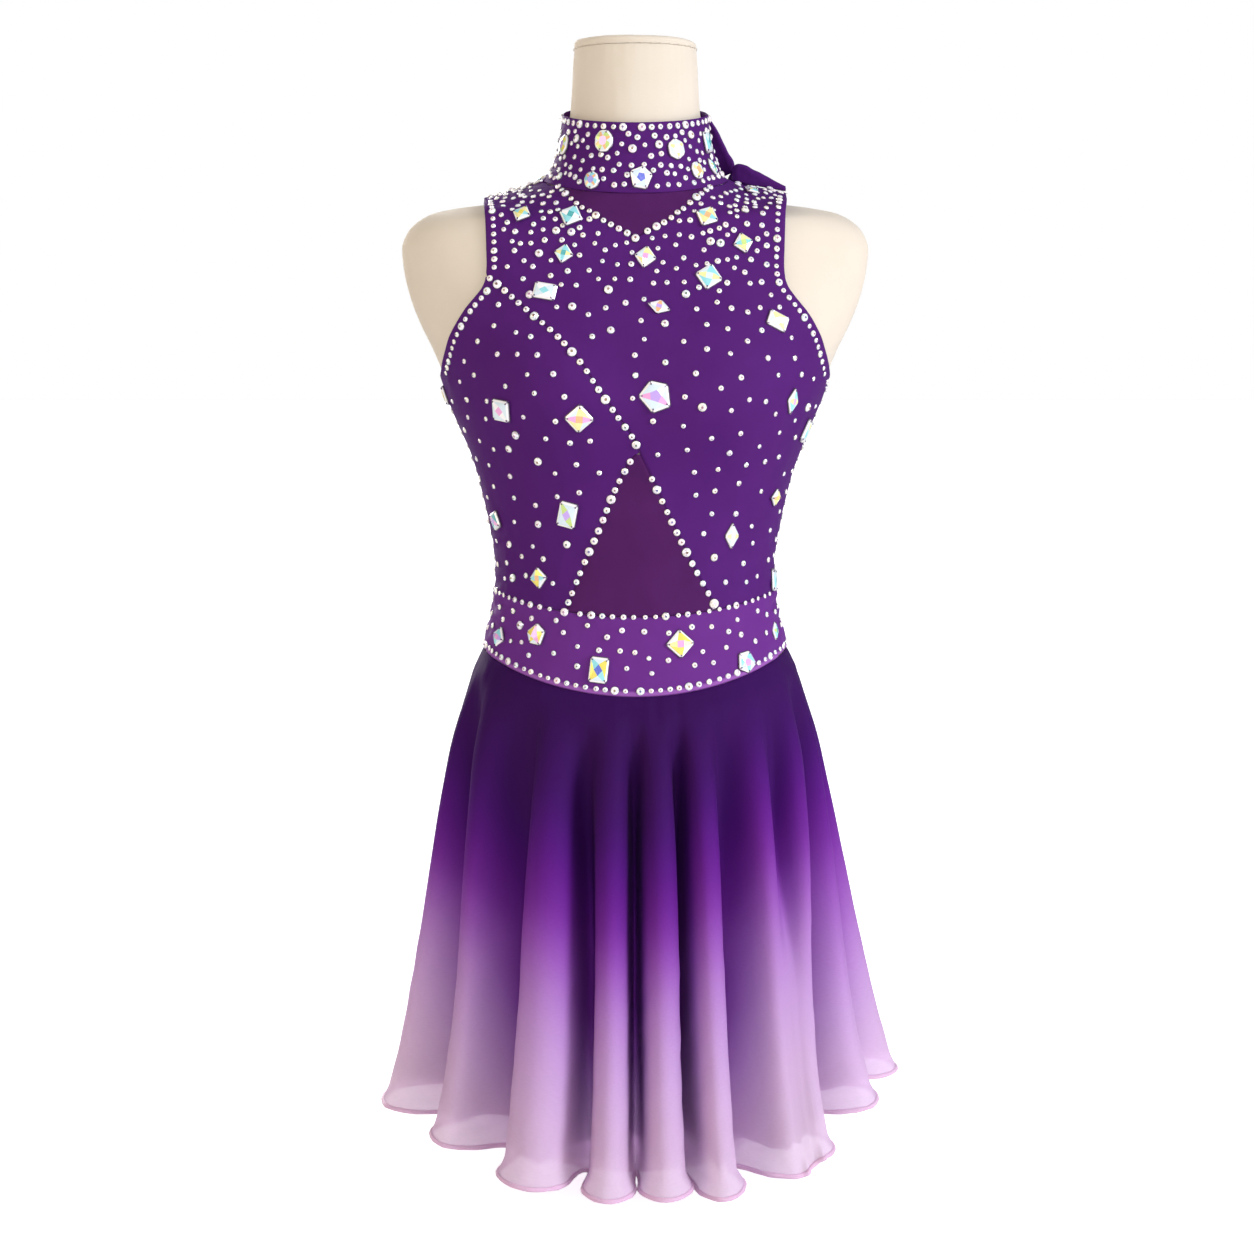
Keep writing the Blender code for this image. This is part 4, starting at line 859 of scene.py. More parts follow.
def build_front():
    gap = SEAM_GAP * 0.62
    q = rows_from(NECKLINE, V_APEX + 0.0016)
    panel("front_neck_insert", q, crossing(q, NECK_V_LEFT, gap), crossing(q, NECK_V_RIGHT, -gap), MATS["mesh"], 44, top="seam",
          bottom=None, slot="mesh", label="neck_insert", cut=(0.132, 0.046))

    # Wrap panel in two halves that share a column of points below the V.
    q = rows_from(NECKLINE)
    apex, diag, tip = (int(np.argmin(np.abs(q - (NECKLINE - z)))) for z in (V_APEX, DIAGONAL_TOP, TRIANGLE_TIP))
    outer_right = outer_limit(q, ARMHOLE_FRONT)
    index = np.arange(len(q))
    outer_left = np.where(index < diag, -outer_limit(q, ARMHOLE_FRONT),
                          np.where(index < tip, crossing(q, DIAGONAL, gap * 1.4), crossing(q, TRIANGLE_RIGHT, gap)))
    middle = crossing(q, WRAP_MIDDLE)
    inner_left = np.where(index < apex, crossing(q, NECK_V_LEFT, -gap * 1.5), middle)
    inner_right = np.where(index < apex, crossing(q, NECK_V_RIGHT, gap * 1.5), middle)
    halves = []
    for first, last, side in ((outer_left, inner_left, -1), (inner_right, outer_right, 1)):
        s = shares(44)
        an = first[:, None] + (last - first)[:, None] * s[None, :]
        z = row_z(np.broadcast_to(q[:, None], an.shape), an)
        lv = level_of(z)
        base = form_point(lv, an)
        nrm = form_normal(lv, an)
        along = np.concatenate([np.zeros((len(q), 1)), np.cumsum(np.linalg.norm(np.diff(base, axis=1), axis=-1), axis=1)], axis=1)
        width = along[:, -1:]
        down = np.concatenate([np.zeros((1, an.shape[1])), np.cumsum(np.linalg.norm(np.diff(base, axis=0), axis=-1), axis=0)], axis=0)
        off = wrinkle(base, an)
        near, far = (along, width - along) if side < 0 else (width - along, along)
        rows = index[:, None]
        arm = (z < SHOULDER_END) & (z > SIDE_SEAM_TOP) & ((rows < diag) | (side > 0))
        off = off + np.where(arm, edge_profile(near, "hem", base[..., 2]), edge_profile(near, "seam", base[..., 2]))
        off = off + np.where(rows < apex, edge_profile(far, "seam", base[..., 0]), 0)
        off = off + edge_profile(down, "seam", base[..., 0]) + edge_profile(down[-1:] - down, "seam", base[..., 0])
        halves.append((an, base, nrm, off, along, down))
    pts_o, pts_i, metres, share, faces = [], [], [], [], []
    count = 0
    maps = []
    for which, (an, base, nrm, off, along, down) in enumerate(halves):
        outer = stood_up(base + nrm * (BODICE_OUT + off)[..., None])
        inner = stood_up(base + nrm * (BODICE_OUT - BODICE_THICK + off * 0.7)[..., None])
        high, wide = an.shape
        ids = np.arange(high * wide).reshape(high, wide) + count
        if which == 1:
            ids = np.arange(high * wide).reshape(high, wide)
            keep = np.ones((high, wide), bool)
            keep[apex:, 0] = False
            ids = np.full((high, wide), -1)
            ids[keep] = count + np.arange(keep.sum())
            ids[apex:, 0] = maps[0][apex:, -1]
            pts_o.append(outer[keep]); pts_i.append(inner[keep])
            metres.append(np.stack([an * 0.112, base[..., 2]], axis=-1)[keep])
            share.append(np.stack([an, down], axis=-1)[keep])
        else:
            pts_o.append(outer.reshape(-1, 3)); pts_i.append(inner.reshape(-1, 3))
            metres.append(np.stack([an * 0.112, base[..., 2]], axis=-1).reshape(-1, 2))
            share.append(np.stack([an, down], axis=-1).reshape(-1, 2))
            count += high * wide
        maps.append(ids)
        faces.append(np.stack([ids[:-1, :-1], ids[1:, :-1], ids[1:, 1:], ids[:-1, 1:]], axis=-1).reshape(-1, 4))
    pts_o, pts_i, faces = np.vstack(pts_o), np.vstack(pts_i), np.vstack(faces)
    ob = shell("wrap_front", pts_o, pts_i, faces, MATS["jersey"], np.vstack(metres), np.vstack(share))
    put(ob, "jersey", "front_wrap_panel", sheet=((0.330, 0.345), flat_area(pts_o, faces)))

    q = rows_from(DIAGONAL_TOP - 0.0012)
    tip_q = NECKLINE - TRIANGLE_TIP
    inner = np.where(q < tip_q, crossing(q, DIAGONAL, -gap * 1.4), crossing(q, TRIANGLE_LEFT, -gap))
    left = -outer_limit(q, ARMHOLE_FRONT)
    panel("front_side_panel", q, left, inner, MATS["jersey"], 60, left_kind="hem", top=None, label="side_front", cut=(0.190, 0.265))

    q = rows_from(TRIANGLE_TIP - 0.0014)
    panel("front_mesh_triangle", q, crossing(q, TRIANGLE_LEFT, gap), crossing(q, TRIANGLE_RIGHT, -gap), MATS["mesh"], 44,
          top=None, slot="mesh", label="midriff_triangle", cut=(0.128, 0.136))


def build_back():
    q = rows_from(NECKLINE)
    z = row_z(q, math.pi)
    edge = outer_limit(q, ARMHOLE_BACK, True)
    middle = math.pi - SEAM_GAP / 2 / form_at(level_of(z))[:, 1]
    panel("back_left", q, edge, middle, MATS["jersey"], 56, left_kind="hem", top="seam", label="left_back", cut=(0.215, 0.345))
    panel("back_right", q, -middle, -edge, MATS["jersey"], 56, right_kind="hem", top="seam", label="right_back", cut=(0.215, 0.345))


def collar_off(z, angle):
    """How far the collar's outside stands from the form."""
    rise = (z - COLLAR_LOW) / (COLLAR_TOP - COLLAR_LOW)
    crease = noise(angle * 6, z * 130, 41) * 0.00035 * soft_step((0.9 - rise) / 0.5) + noise(angle * 3, z * 45, 42) * 0.0005 * rise
    return CLOTH_GAP + 0.0028 * rise + 0.0018 + crease


def build_collar():
    columns = 200
    an = 2 * math.pi * np.arange(columns) / columns
    zs = COLLAR_TOP - np.array([0, 0.0006, 0.0014, 0.0026] + list(np.linspace(0.0045, 0.0470, 20)) + [0.0496, 0.0512, 0.0521])
    an2, z2 = np.meshgrid(an, zs)
    lv = level_of(z2)
    rise = (z2 - COLLAR_LOW) / (COLLAR_TOP - COLLAR_LOW)
    off = collar_off(z2, an2)
    edge = -0.0007 * np.exp(-((COLLAR_TOP - z2) / 0.0006) ** 2) - 0.0006 * np.exp(-((z2 - COLLAR_LOW) / 0.0008) ** 2)
    outer = cloth_point(lv, an2, off + edge)
    inner = cloth_point(lv, an2, off - 0.0013 - edge * 0.3)
    faces = grid_faces(len(zs), columns, True)
    metres = np.stack([an2 * 0.055, z2], axis=-1)
    share = np.stack([an2 / 6.3, 1 - rise], axis=-1)
    ob = shell("stand_collar", outer, inner, faces, MATS["jersey"], metres, share)
    put(ob, "jersey", "collar", sheet=((0.375, 0.060), flat_area(outer, faces)))


def band_off(base, angle, share):
    """How far the waistband's outside stands from the form; it rolls a little at the sides."""
    side = soft_step((np.abs(np.sin(angle)) - 0.72) / 0.22)
    roll = np.cos((share * 2.6 + 0.35 * noise(angle * 8, share * 2, 51)) * 2 * math.pi) * side * 0.0009
    return BODICE_OUT + 0.0003 + wrinkle(base, angle) * 0.6 + roll


def build_waistbands():
    for name, label, start in (("waistband_front", "waist_front", -math.pi / 2), ("waistband_back", "waist_back", math.pi / 2)):
        gap = SEAM_GAP / 2 / 0.080
        s = shares(120)
        an = start + gap + (math.pi - 2 * gap) * s
        t = np.array([0, 0.012, 0.03, 0.06] + list(np.linspace(0.10, 0.90, 18)) + [0.93, 0.95, 0.97, 0.985, 1.0])
        an2, t2 = np.meshgrid(an, t)
        top = edge_height(WAIST_TOP, an2) - SEAM_GAP * 0.8
        low = edge_height(WAIST_LOW, an2) + SEAM_GAP / 2
        z = top + (low - top) * t2
        lv = level_of(z)
        base = form_point(lv, an2)
        nrm = form_normal(lv, an2)
        high = (top - low)
        d_top, d_low = t2 * high, (1 - t2) * high
        off = band_off(base, an2, t2) + edge_profile(d_top, "seam", base[..., 0])
        # The band's own lower edge is turned and edge-stitched over the skirt.
        off = off + 0.0007 * soft_step((0.0032 - d_low) / 0.0006) - 0.0008 * np.exp(-(d_low / 0.0005) ** 2)
        ends = np.minimum(s, 1 - s)[None, :] * math.pi * 0.115
        off = off + edge_profile(np.broadcast_to(ends, off.shape), "seam", z)
        outer = base + nrm * off[..., None]
        inner = base + nrm * (BODICE_OUT - 0.0006 + (off - BODICE_OUT) * 0.6)[..., None]
        faces = grid_faces(*an2.shape)
        ob = shell(label, outer, inner, faces, MATS["band"], np.stack([an2 * 0.112, z], axis=-1), np.stack([np.broadcast_to(s, an2.shape), t2], axis=-1))
        width = float(np.linalg.norm(np.diff(outer, axis=1), axis=-1).sum(axis=1).max())
        put(ob, "jersey", name, sheet=((width * 1.01, 0.064), flat_area(outer, faces)))


# ------------------------------------------------------------------- skirt
flare_at = smooth_through([r[0] for r in FLARE], [r[1] for r in FLARE])
COUNT = len(FLUTES)


def flute(k, column):
    turns, k = divmod(k, COUNT)
    value = FLUTES[k][column]
    return value + 360.0 * turns if column < 4 else value


# The flutes with a few more turns at either end, for a half that runs on past the last row.
FLUTE_TABLE = np.array([[flute(i, c) for c in range(10)] for i in range(-2, 2 * COUNT + 3)])


def skirt_point(u, v):
    """A point of the outer layer's outside.  u counts flutes round, v goes from the seam to the hem."""
    u, v = np.broadcast_arrays(np.asarray(u, float), np.asarray(v, float))
    k = np.floor(u).astype(int)
    t = u - k
    a, b = FLUTE_TABLE[k + 2], FLUTE_TABLE[k + 3]
    ease = soft_step(v / 0.9)
    crest = a[..., 0] + (a[..., 1] - a[..., 0]) * ease
    valley = a[..., 2] + (a[..., 3] - a[..., 2]) * ease
    after = b[..., 0] + (b[..., 1] - b[..., 0]) * ease
    grow = np.clip((v - FOLD_START) / (1 - FOLD_START), 0, 1)
    fold = (1 - (1 - grow) ** 2.4) * (1 - np.exp(-grow * 25.0))
    steep = np.where(t < 0.5, a[..., 7], a[..., 8]) * (1 - np.exp(-grow * 5.0))
    share = t + steep * (FOLD_WIDE / (2 * math.pi) * np.sin(2 * math.pi * t)
                         + FOLD_ROUND / (4 * math.pi) * np.sin(4 * math.pi * t))
    angle = np.radians(np.where(share < 0.5, crest + (valley - crest) * 2 * share, valley + (after - valley) * (2 * share - 1)))
    fading = 1 - a[..., 9] * soft_step((v - 0.25) / 0.45)
    depth = a[..., 4] * fading * (1 - np.cos(2 * math.pi * t)) / 2 * fold
    near = a[..., 5] * grow * (1 - a[..., 9] * (1 - grow))
    far = b[..., 5] * grow * (1 - b[..., 9] * (1 - grow))
    reach = near + (far - near) * soft_step(t)
    seam = edge_height(WAIST_LOW, angle) - SEAM_GAP / 2
    hem = edge_height(HEM, angle)
    level = level_of(seam)
    start = cloth_point(level, angle, 0.0028)
    _, half, front, back, _, _ = np.moveaxis(form_at(level), -1, 0)
    c, s = np.cos(angle), np.sin(angle)
    side_on = np.where(c >= 0, front, back)
    out = np.stack([s / half, -c / side_on, np.zeros_like(s)], axis=-1)
    out /= np.linalg.norm(out, axis=-1, keepdims=True)
    share_out = np.where(c >= 0, 1 + (FLARE_FRONT - 1) * c * c, 1 + (FLARE_BACK - 1) * c * c)
    lift = a[..., 6] + (b[..., 6] - a[..., 6]) * soft_step(t)
    z = seam + (hem - seam) * v + lift * v * v
    # A valley stays clear of the form, and may deepen again below the form's end.
    body = cloth_point(level_of(np.maximum(z, 0.300)), angle, 0.0)
    room = (flare_at(v) * share_out + reach + ((start - body) * out).sum(axis=-1)
            - VALLEY_CLEAR * soft_step(v / 0.12) + 0.7 * np.maximum(0.282 - z, 0))
    room = np.maximum(room, 0.0004)
    depth = np.maximum(-0.0025 * np.log(np.exp(-depth / 0.0025) + np.exp(-room / 0.0025)), 0)
    point = start + out * (flare_at(v) * share_out + reach - depth)[..., None]
    point[..., 2] = z
    return point


def level_normals(grid):
    """Outward normals of each row of a skirt grid, in the level of the row."""
    along = np.gradient(grid, axis=1)
    n = np.stack([along[..., 1], -along[..., 0], 0 * along[..., 0]], axis=-1)
    return unit(n)


# How far up or down the dye sits, as a share of the length, from one flute to the next: near the waist and near the
# hem. The shifts are partly the dye's own uneven line and partly painted light: near the waist the flutes on the
# viewer's right are drawn paler and those in front and on the left deeper, near the hem those on the left paler and
# those far right deeper.
DYE_AND_PAINTED_LIGHT_HIGH = (-0.02, -0.03, -0.035, -0.03, -0.075, -0.065, 0.00, 0.06, 0.06, 0.01, 0.00, -0.02, 0.01, -0.01, 0.00, -0.02, 0.01)
DYE_AND_PAINTED_LIGHT_LOW = (0.06, 0.06, 0.000, -0.025, -0.030, -0.02, 0.00, 0.04, 0.03, -0.060, -0.060, 0.01, -0.01, 0.01, -0.02, 0.00, 0.01)


def dye_and_painted_light(u, v):
    """How far down the dye each point looks, with painted light in it: the flute shifts carry side light, and the
    colour is drawn deeper in the valleys as painted shade.
    """
    low = soft_step((v - 0.35) / 0.4)
    # The flute shifts carry painted light as well as the dye's uneven line.
    shift = sum(np.interp(u % COUNT, np.arange(COUNT + 1), row + row[:1]) * part for row, part in ((DYE_AND_PAINTED_LIGHT_HIGH, 1 - low), (DYE_AND_PAINTED_LIGHT_LOW, low)))
    # Painted shade: in each valley the dye is drawn deeper, so darker and more saturated, strongest about two thirds of
    # the way down and weaker near the waist and the hem.
    valley = ((1 - np.cos(2 * math.pi * u)) / 2) ** 1.3
    fades = FLUTE_TABLE[np.floor(u).astype(int) + 2][..., 9]
    valley = valley * (1 - fades * soft_step((v - 0.25) / 0.35))
    return v + shift - valley * soft_step(v / 0.3) * (0.12 + 0.12 * soft_step((v - 0.5) / 0.2)) * (1 - 0.65 * soft_step((v - 0.74) / 0.26))


def build_skirt():
    per = 30
    halves = (("front", SIDE_SEAM_AFTER[0] + SIDE_SEAM_SHARE, SIDE_SEAM_AFTER[1] + SIDE_SEAM_SHARE),
              ("back", SIDE_SEAM_AFTER[1] + SIDE_SEAM_SHARE, SIDE_SEAM_AFTER[0] + SIDE_SEAM_SHARE + COUNT))
    for where, first, last in halves:
        count = int(round((last - first) * per))
        u = np.linspace(first, last, count + 1)
        u[0] += 0.005
        u[-1] -= 0.005
        v = np.concatenate([np.linspace(0, 0.04, 6), np.linspace(0.04, 0.94, 74)[1:], np.linspace(0.94, 1.0, 12)[1:]])
        # A few columns past either end keep the normals right at the seams.
        uu = np.concatenate([[u[0] - 0.04], u, [u[-1] + 0.04]])
        u2, v2 = np.meshgrid(uu, v)
        grid = skirt_point(u2, v2)
        n = level_normals(grid)
        t = u2 - np.floor(u2)
        crest = (1 + np.cos(2 * math.pi * t)) / 2
        ang = u2 * 0.9
        # Small gathers under the waistband, soft long ripples and crinkles lower down.
        gather = noise(u2 * 5.0, v2 * 3, 61) * 0.0006 * soft_step(v2 / 0.01) * soft_step((0.16 - v2) / 0.12)
        ripple = (noise(u2 * 3.1, v2 * 2.2, 62) * 0.0011 + noise(u2 * 7.3, v2 * 4.0, 63) * 0.0005) * soft_step((v2 - 0.05) / 0.3)
        slant = u2 * 9.0 + v2 * 22.0
        crinkle = noise(slant, v2 * 6 - u2 * 2, 64) * 0.00042 * soft_step((v2 - 0.35) / 0.3)
        # The stiff rolled hem turns out a little, most at the ends of the flutes.
        # Both halves lie the same at the side seams, so that neither crosses the other.
        still = soft_step(np.minimum(u2 - u[0], u[-1] - u2) / 0.30)
        corner = np.exp(-((np.abs((t + 0.5) % 1 - 0.5) - 0.20) / 0.07) ** 2)
        flip = 0.0034 * soft_step((v2 - 0.960) / 0.040) ** 1.5 * (0.40 + 0.20 * crest + 0.70 * corner + 0.35 * still * noise(u2 * 4.0, 0 * v2, 65))
        # Where a flute is drawn together, its small creases are calmer.
        step = np.linalg.norm(np.gradient(grid, axis=1), axis=-1)
        calm = np.clip(step / (0.8 * np.median(step, axis=1, keepdims=True)), 0.2, 1.0) ** 1.5
        out = (gather + (ripple + crinkle) * calm) * still + flip
        grid = grid + n * out[..., None]
        grid[..., 2] += 0.0016 * still * noise(u2 * 2.7, 0 * v2, 66) * soft_step((v2 - 0.85) / 0.15)
        n = level_normals(grid)[:, 1:-1]
        full = grid[:, 1:-1]
        u3, v3 = u2[:, 1:-1], v2[:, 1:-1]
        inner = full - n * CHIFFON_THICK
        metres = np.stack([u3 * 0.075, v3 * 0.370], axis=-1)
        share = np.stack([u3 / COUNT, dye_and_painted_light(u3, v3)], axis=-1)
        faces = grid_faces(*u3.shape)
        ob = shell("skirt_outer_" + where, full, inner, faces, MATS["chiffon"], metres, share)
        hem_line = full[-1]
        width = float(np.linalg.norm(np.diff(hem_line, axis=0), axis=-1).sum())
        long = float(np.linalg.norm(np.diff(full[:, count // 2], axis=0), axis=-1).sum())
        # Rolled hem: a thin cord of thread that follows the hem's edge.
        roll = tube("rolled_hem_" + where, hem_line - n[-1] * CHIFFON_THICK / 2 + np.array([0, 0, -0.0002]), n[-1], HEM_ROLL, 10, MATS["hem"])
        put(roll, "chiffon")
        put(ob, "chiffon", "skirt_" + where, sheet=((width * 1.02, long * 1.03), flat_area(full, faces), [roll]))

        # Under layer: the same folds a little further in, with a freely cut wavy hem.
        vv = np.concatenate([np.linspace(0.05, 0.90, 60), np.linspace(0.90, 1.0, 8)[1:]])
        u2, w2 = np.meshgrid(uu, vv)
        jag = np.abs((u2 * 2.7 + 0.6 * noise(u2 * 1.3, 0 * u2, 70)) % 1 - 0.5) * 2 - 0.5
        wave = (noise(u2 * 2.3, 0 * u2, 71) * 0.5 + jag * 0.5 + noise(u2 * 11.0, 0 * u2, 72) * 0.22 + noise(u2 * 23.0, 0 * u2, 73) * 0.10)
        end = 1 - (UNDER_SHORTER + 0.0110 * wave) / 0.370
        v2 = 0.05 + (w2 - 0.05) / 0.95 * (end - 0.05)
        grid = skirt_point(u2, v2)
        n = level_normals(grid)
        drop = 0.0022 + (0.0036 - 0.0022) * soft_step((v2 - 0.05) / 0.2)
        t = u2 - np.floor(u2)
        crest = (1 + np.cos(2 * math.pi * t)) / 2
        drop = drop + 0.0018 * crest * soft_step((v2 - 0.2) / 0.4)
        still = soft_step(np.minimum(u2 - u[0], u[-1] - u2) / 0.30)
        soft = noise(u2 * 4.1, v2 * 3.0, 74) * 0.0007 * soft_step((v2 - 0.1) / 0.3) * still
        grid = grid + n * (soft - drop)[..., None]
        n = level_normals(grid)[:, 1:-1]
        full = grid[:, 1:-1]
        inner = full - n * CHIFFON_THICK * 0.8
        u3, v3 = u2[:, 1:-1], v2[:, 1:-1]
        faces = grid_faces(*u3.shape)
        ob = shell("skirt_under_" + where, full, inner, faces, MATS["under"],
                   np.stack([u3 * 0.075 + 0.3, v3 * 0.370], axis=-1), np.stack([u3 / COUNT, dye_and_painted_light(u3, v3)], axis=-1))
        width = float(np.linalg.norm(np.diff(full[-1], axis=0), axis=-1).sum())
        long = float(np.linalg.norm(np.diff(full[:, count // 2], axis=0), axis=-1).sum())
        put(ob, "chiffon", "underskirt_" + where, sheet=((width * 1.02, long * 1.03), flat_area(full, faces)))


def tube(name, path, side, radius, around, mat, caps=True):
    """A tube along a path; side gives a direction across it at each point."""
    path = np.asarray(path, float)
    tangent = unit(np.gradient(path, axis=0))
    side = unit(side - tangent * (side * tangent).sum(-1, keepdims=True))
    up = np.cross(tangent, side)
    length = np.concatenate([[0], np.cumsum(np.linalg.norm(np.diff(path, axis=0), axis=-1))])
    a = 2 * math.pi * np.arange(around) / around
    wob = radius * (1 + 0.12 * noise(length * 260, 0 * length, 81) + 0.10 * noise(length * 700, 0 * length, 82))
    pts = path[:, None] + (side[:, None] * np.cos(a)[None, :, None] + up[:, None] * np.sin(a)[None, :, None]) * wob[:, None, None]
    faces = grid_faces(len(path), around, True)[:, ::-1].tolist()
    faces.append([k for k in range(around)][::-1])
    faces.append([(len(path) - 1) * around + k for k in range(around)])
    uv = np.stack([np.broadcast_to(length[:, None], (len(path), around)), np.broadcast_to(a[None] * radius, (len(path), around))], axis=-1)
    return new_object(name, pts.reshape(-1, 3), faces, mat, uv.reshape(-1, 2))


# -------------------------------------------------------------------- tie
def build_tie():
    rows = np.linspace(0, len(TIE_STRIP) - 1, 40)
    at = smooth_through(range(len(TIE_STRIP)), TIE_STRIP)(rows)
    edge = at[:, :3]
    down = cloth_point(level_of(at[:, 3]), np.radians(at[:, 4]), at[:, 5]) - edge
    s = np.linspace(0, 1, 22)
    grid = edge[:, None] + down[:, None] * s[None, :, None]
    bow = np.sin(math.pi * s)[None, :, None] * np.array([0.0012, -0.0010, 0.0010])
    fold = noise(rows[:, None] * 1.4, s[None, :] * 3.0, 91)[..., None] * np.array([0.0004, 0.0005, 0.0])
    grid = grid + bow + fold
    nrm = unit(np.cross(np.gradient(grid, axis=0), np.gradient(grid, axis=1)))
    # The strip is folded double, so its free edge is round and thick.
    thick = 0.0008 + 0.0006 * np.sqrt(np.clip(1 - ((s - 0.16) / 0.17) ** 2, 0, 1))
    thick = thick[None, :, None] * np.ones_like(nrm)
    faces = grid_faces(len(rows), len(s))
    metres = np.stack([np.broadcast_to(s * 0.014, grid.shape[:2]), np.broadcast_to(rows[:, None] * 0.012, grid.shape[:2])], axis=-1)
    ob = shell("neck_tie_strip", grid + nrm * thick, grid - nrm * thick, faces, MATS["jersey"], metres, metres)
    put(ob, "jersey", "tie_strip", sheet=((0.050, 0.020), flat_area(grid, faces)))

    rows = np.linspace(0, len(TIE_END) - 1, 44)
    at = smooth_through(range(len(TIE_END)), TIE_END)(rows)
    x, y, z, high, thick = at.T
    half = thick / 2
    sect = []
    for k in np.linspace(0, 8, 33):
        if k <= 2:
            sect.append(np.stack([x, y - half, z - high + (high - half) * k / 2], axis=-1))
        elif k <= 6:
            a = math.pi * (k - 2) / 4
            sect.append(np.stack([x, y - half * math.cos(a), z - half + half * math.sin(a)], axis=-1))
        else:
            sect.append(np.stack([x, y + half, z - half - (high - half) * (k - 6) / 2 * 0.9], axis=-1))
    grid = np.moveaxis(np.array(sect), 0, 1)
    w = np.linspace(0, 1, 33)
    bend = noise(rows[:, None] * 1.7, w[None] * 5, 95) * 0.0005
    nrm = unit(np.cross(np.gradient(grid, axis=0), np.gradient(grid, axis=1)))
    grid = grid + nrm * bend[..., None]
    faces = grid_faces(len(rows), 33)
    metres = np.stack([np.broadcast_to(w * 0.04, grid.shape[:2]), np.broadcast_to(rows[:, None] * 0.01, grid.shape[:2])], axis=-1)
    ob = shell("neck_tie_end", grid + nrm * 0.0006, grid - nrm * 0.0006, faces, MATS["jersey"], metres, metres)
    put(ob, "jersey", "tie_end", sheet=((0.045, 0.040), flat_area(grid, faces)))

    (kx, ky, kz), (rx, ry, rz) = TIE_KNOT["middle"], TIE_KNOT["half"]
    lat = np.linspace(0.06, math.pi - 0.06, 26)
    lon = 2 * math.pi * np.arange(40) / 40
    lo, la = np.meshgrid(lon, lat)
    crease = 1 + 0.05 * np.cos(lo * 3 + la * 2.2) + 0.04 * noise(lo * 2, la * 3, 97) * np.sin(la)
    pts = np.stack([kx + rx * np.sin(la) * np.sin(lo) * crease, ky - ry * np.sin(la) * np.cos(lo) * crease, kz + rz * np.cos(la)], axis=-1)
    faces = grid_faces(len(lat), 40, True).tolist()
    faces.append(list(range(40)))
    faces.append([(len(lat) - 1) * 40 + k for k in reversed(range(40))])
    put(new_object("neck_tie_knot", pts.reshape(-1, 3), faces, MATS["jersey"], np.stack([lo * 0.008, la * 0.008], axis=-1).reshape(-1, 2)),
        "jersey", "tie_knot")


# ------------------------------------------------------------------ stones
rng = np.random.default_rng(20260711)
PALE = [srgb(*c)[:3] for c in ((254, 254, 252), (250, 247, 252), (252, 248, 240), (244, 242, 250), (252, 240, 247), (240, 250, 250))]
SHADE = [srgb(*c)[:3] for c in ((198, 190, 208), (226, 206, 216), (214, 206, 184), (186, 200, 210), (232, 226, 206))]
HEART = [srgb(*c)[:3] for c in ((158, 112, 128), (150, 130, 92), (104, 124, 104), (128, 108, 150), (142, 96, 84), (182, 140, 160),
                                (98, 104, 150), (122, 92, 72))]
# The dark foot round each stone: partly the stone's dark foil edge, partly a painted contact shadow on the cloth.
RIM_FOIL_AND_SHADOW = srgb(36, 13, 50)[:3]


def round_stone():
    """A unit flat-back stone: verts, faces and a group for each face (0 rim, 1 girdle, 2 crown, 3 table)."""
    verts, faces, group = [], [], []
    a16 = [2 * math.pi * k / 16 for k in range(16)]
    a8 = [2 * math.pi * k / 8 for k in range(8)]
    for r, h in ((1.13, 0.00), (1.08, 0.12), (1.00, 0.18), (0.97, 0.34)):
        verts += [(r * math.cos(a), r * math.sin(a), h) for a in a16]
    verts += [(0.70 * math.cos(a + math.pi / 8), 0.70 * math.sin(a + math.pi / 8), 0.60) for a in a8]
    verts += [(0.33 * math.cos(a), 0.33 * math.sin(a), 0.76) for a in a8]
    for ring, g in ((0, 0), (1, 0), (2, 1)):
        for k in range(16):
            m = (k + 1) % 16
            faces.append([ring * 16 + k, ring * 16 + m, (ring + 1) * 16 + m, (ring + 1) * 16 + k])
            group.append(g)
    g0, c0, t0 = 48, 64, 72
    for k in range(8):
        m = (k + 1) % 8
        a, b, c = g0 + 2 * k, g0 + 2 * k + 1, g0 + (2 * k + 2) % 16
        faces += [[a, b, c0 + k], [b, c, c0 + k], [c, c0 + m, c0 + k], [t0 + k, c0 + k, t0 + m], [c0 + k, c0 + m, t0 + m]]
        group += [2, 2, 2, 2, 2]
    faces.append([t0 + k for k in range(8)])
    group.append(3)
    faces.append([k for k in reversed(range(16))])
    group.append(0)
    return np.array(verts), faces, group


def check_out(verts, faces):
    """Turns faces so that they look away from the middle of the stone."""
    middle = np.array([0, 0, verts[:, 2].max() * 0.3])
    out = []
    for f in faces:
        p = verts[f]
        n = np.cross(p[1] - p[0], p[2] - p[0])
        out.append(f if np.dot(n, p.mean(axis=0) - middle) > 0 else f[::-1])
    return out


def frame_at(level, angle, out):
    p = cloth_point(level, angle, out)
    n = form_normal(level, angle)
    side = unit(np.cross(np.array([0, 0, 1.0]), n))
    return p, n, side, np.cross(n, side)


class Spot:
    """Stones on one part of the dress: where each is, and how far each keeps the others away."""

    def __init__(self):
        self.rows = []
        self.points = np.zeros((0, 3))
        self.reach = np.zeros(0)

    def clear(self, point, keep):
        if not len(self.points):
            return True
        return bool(np.all(np.linalg.norm(self.points - point, axis=-1) > np.maximum(self.reach, keep)))

    def block(self, point, reach):
        self.points = np.vstack([self.points, point])
        self.reach = np.append(self.reach, reach)

    def add(self, level, angle, out, radius, point, reach):
        self.rows.append((level, angle, out, radius, rng.uniform(0, math.pi)))
        self.block(point, reach)


def cloth_out(where, z, angle):
    """Where a stone sits on the collar, the bodice or the waistband."""
    level = level_of(z)
    base = form_point(level, angle)
    if where == "collar":
        return collar_off(z, angle)
    if where == "band":
        top, low = edge_height(WAIST_TOP, angle), edge_height(WAIST_LOW, angle)
        return band_off(base, angle, (top - z) / (top - low))
    return BODICE_OUT + wrinkle(base, angle)


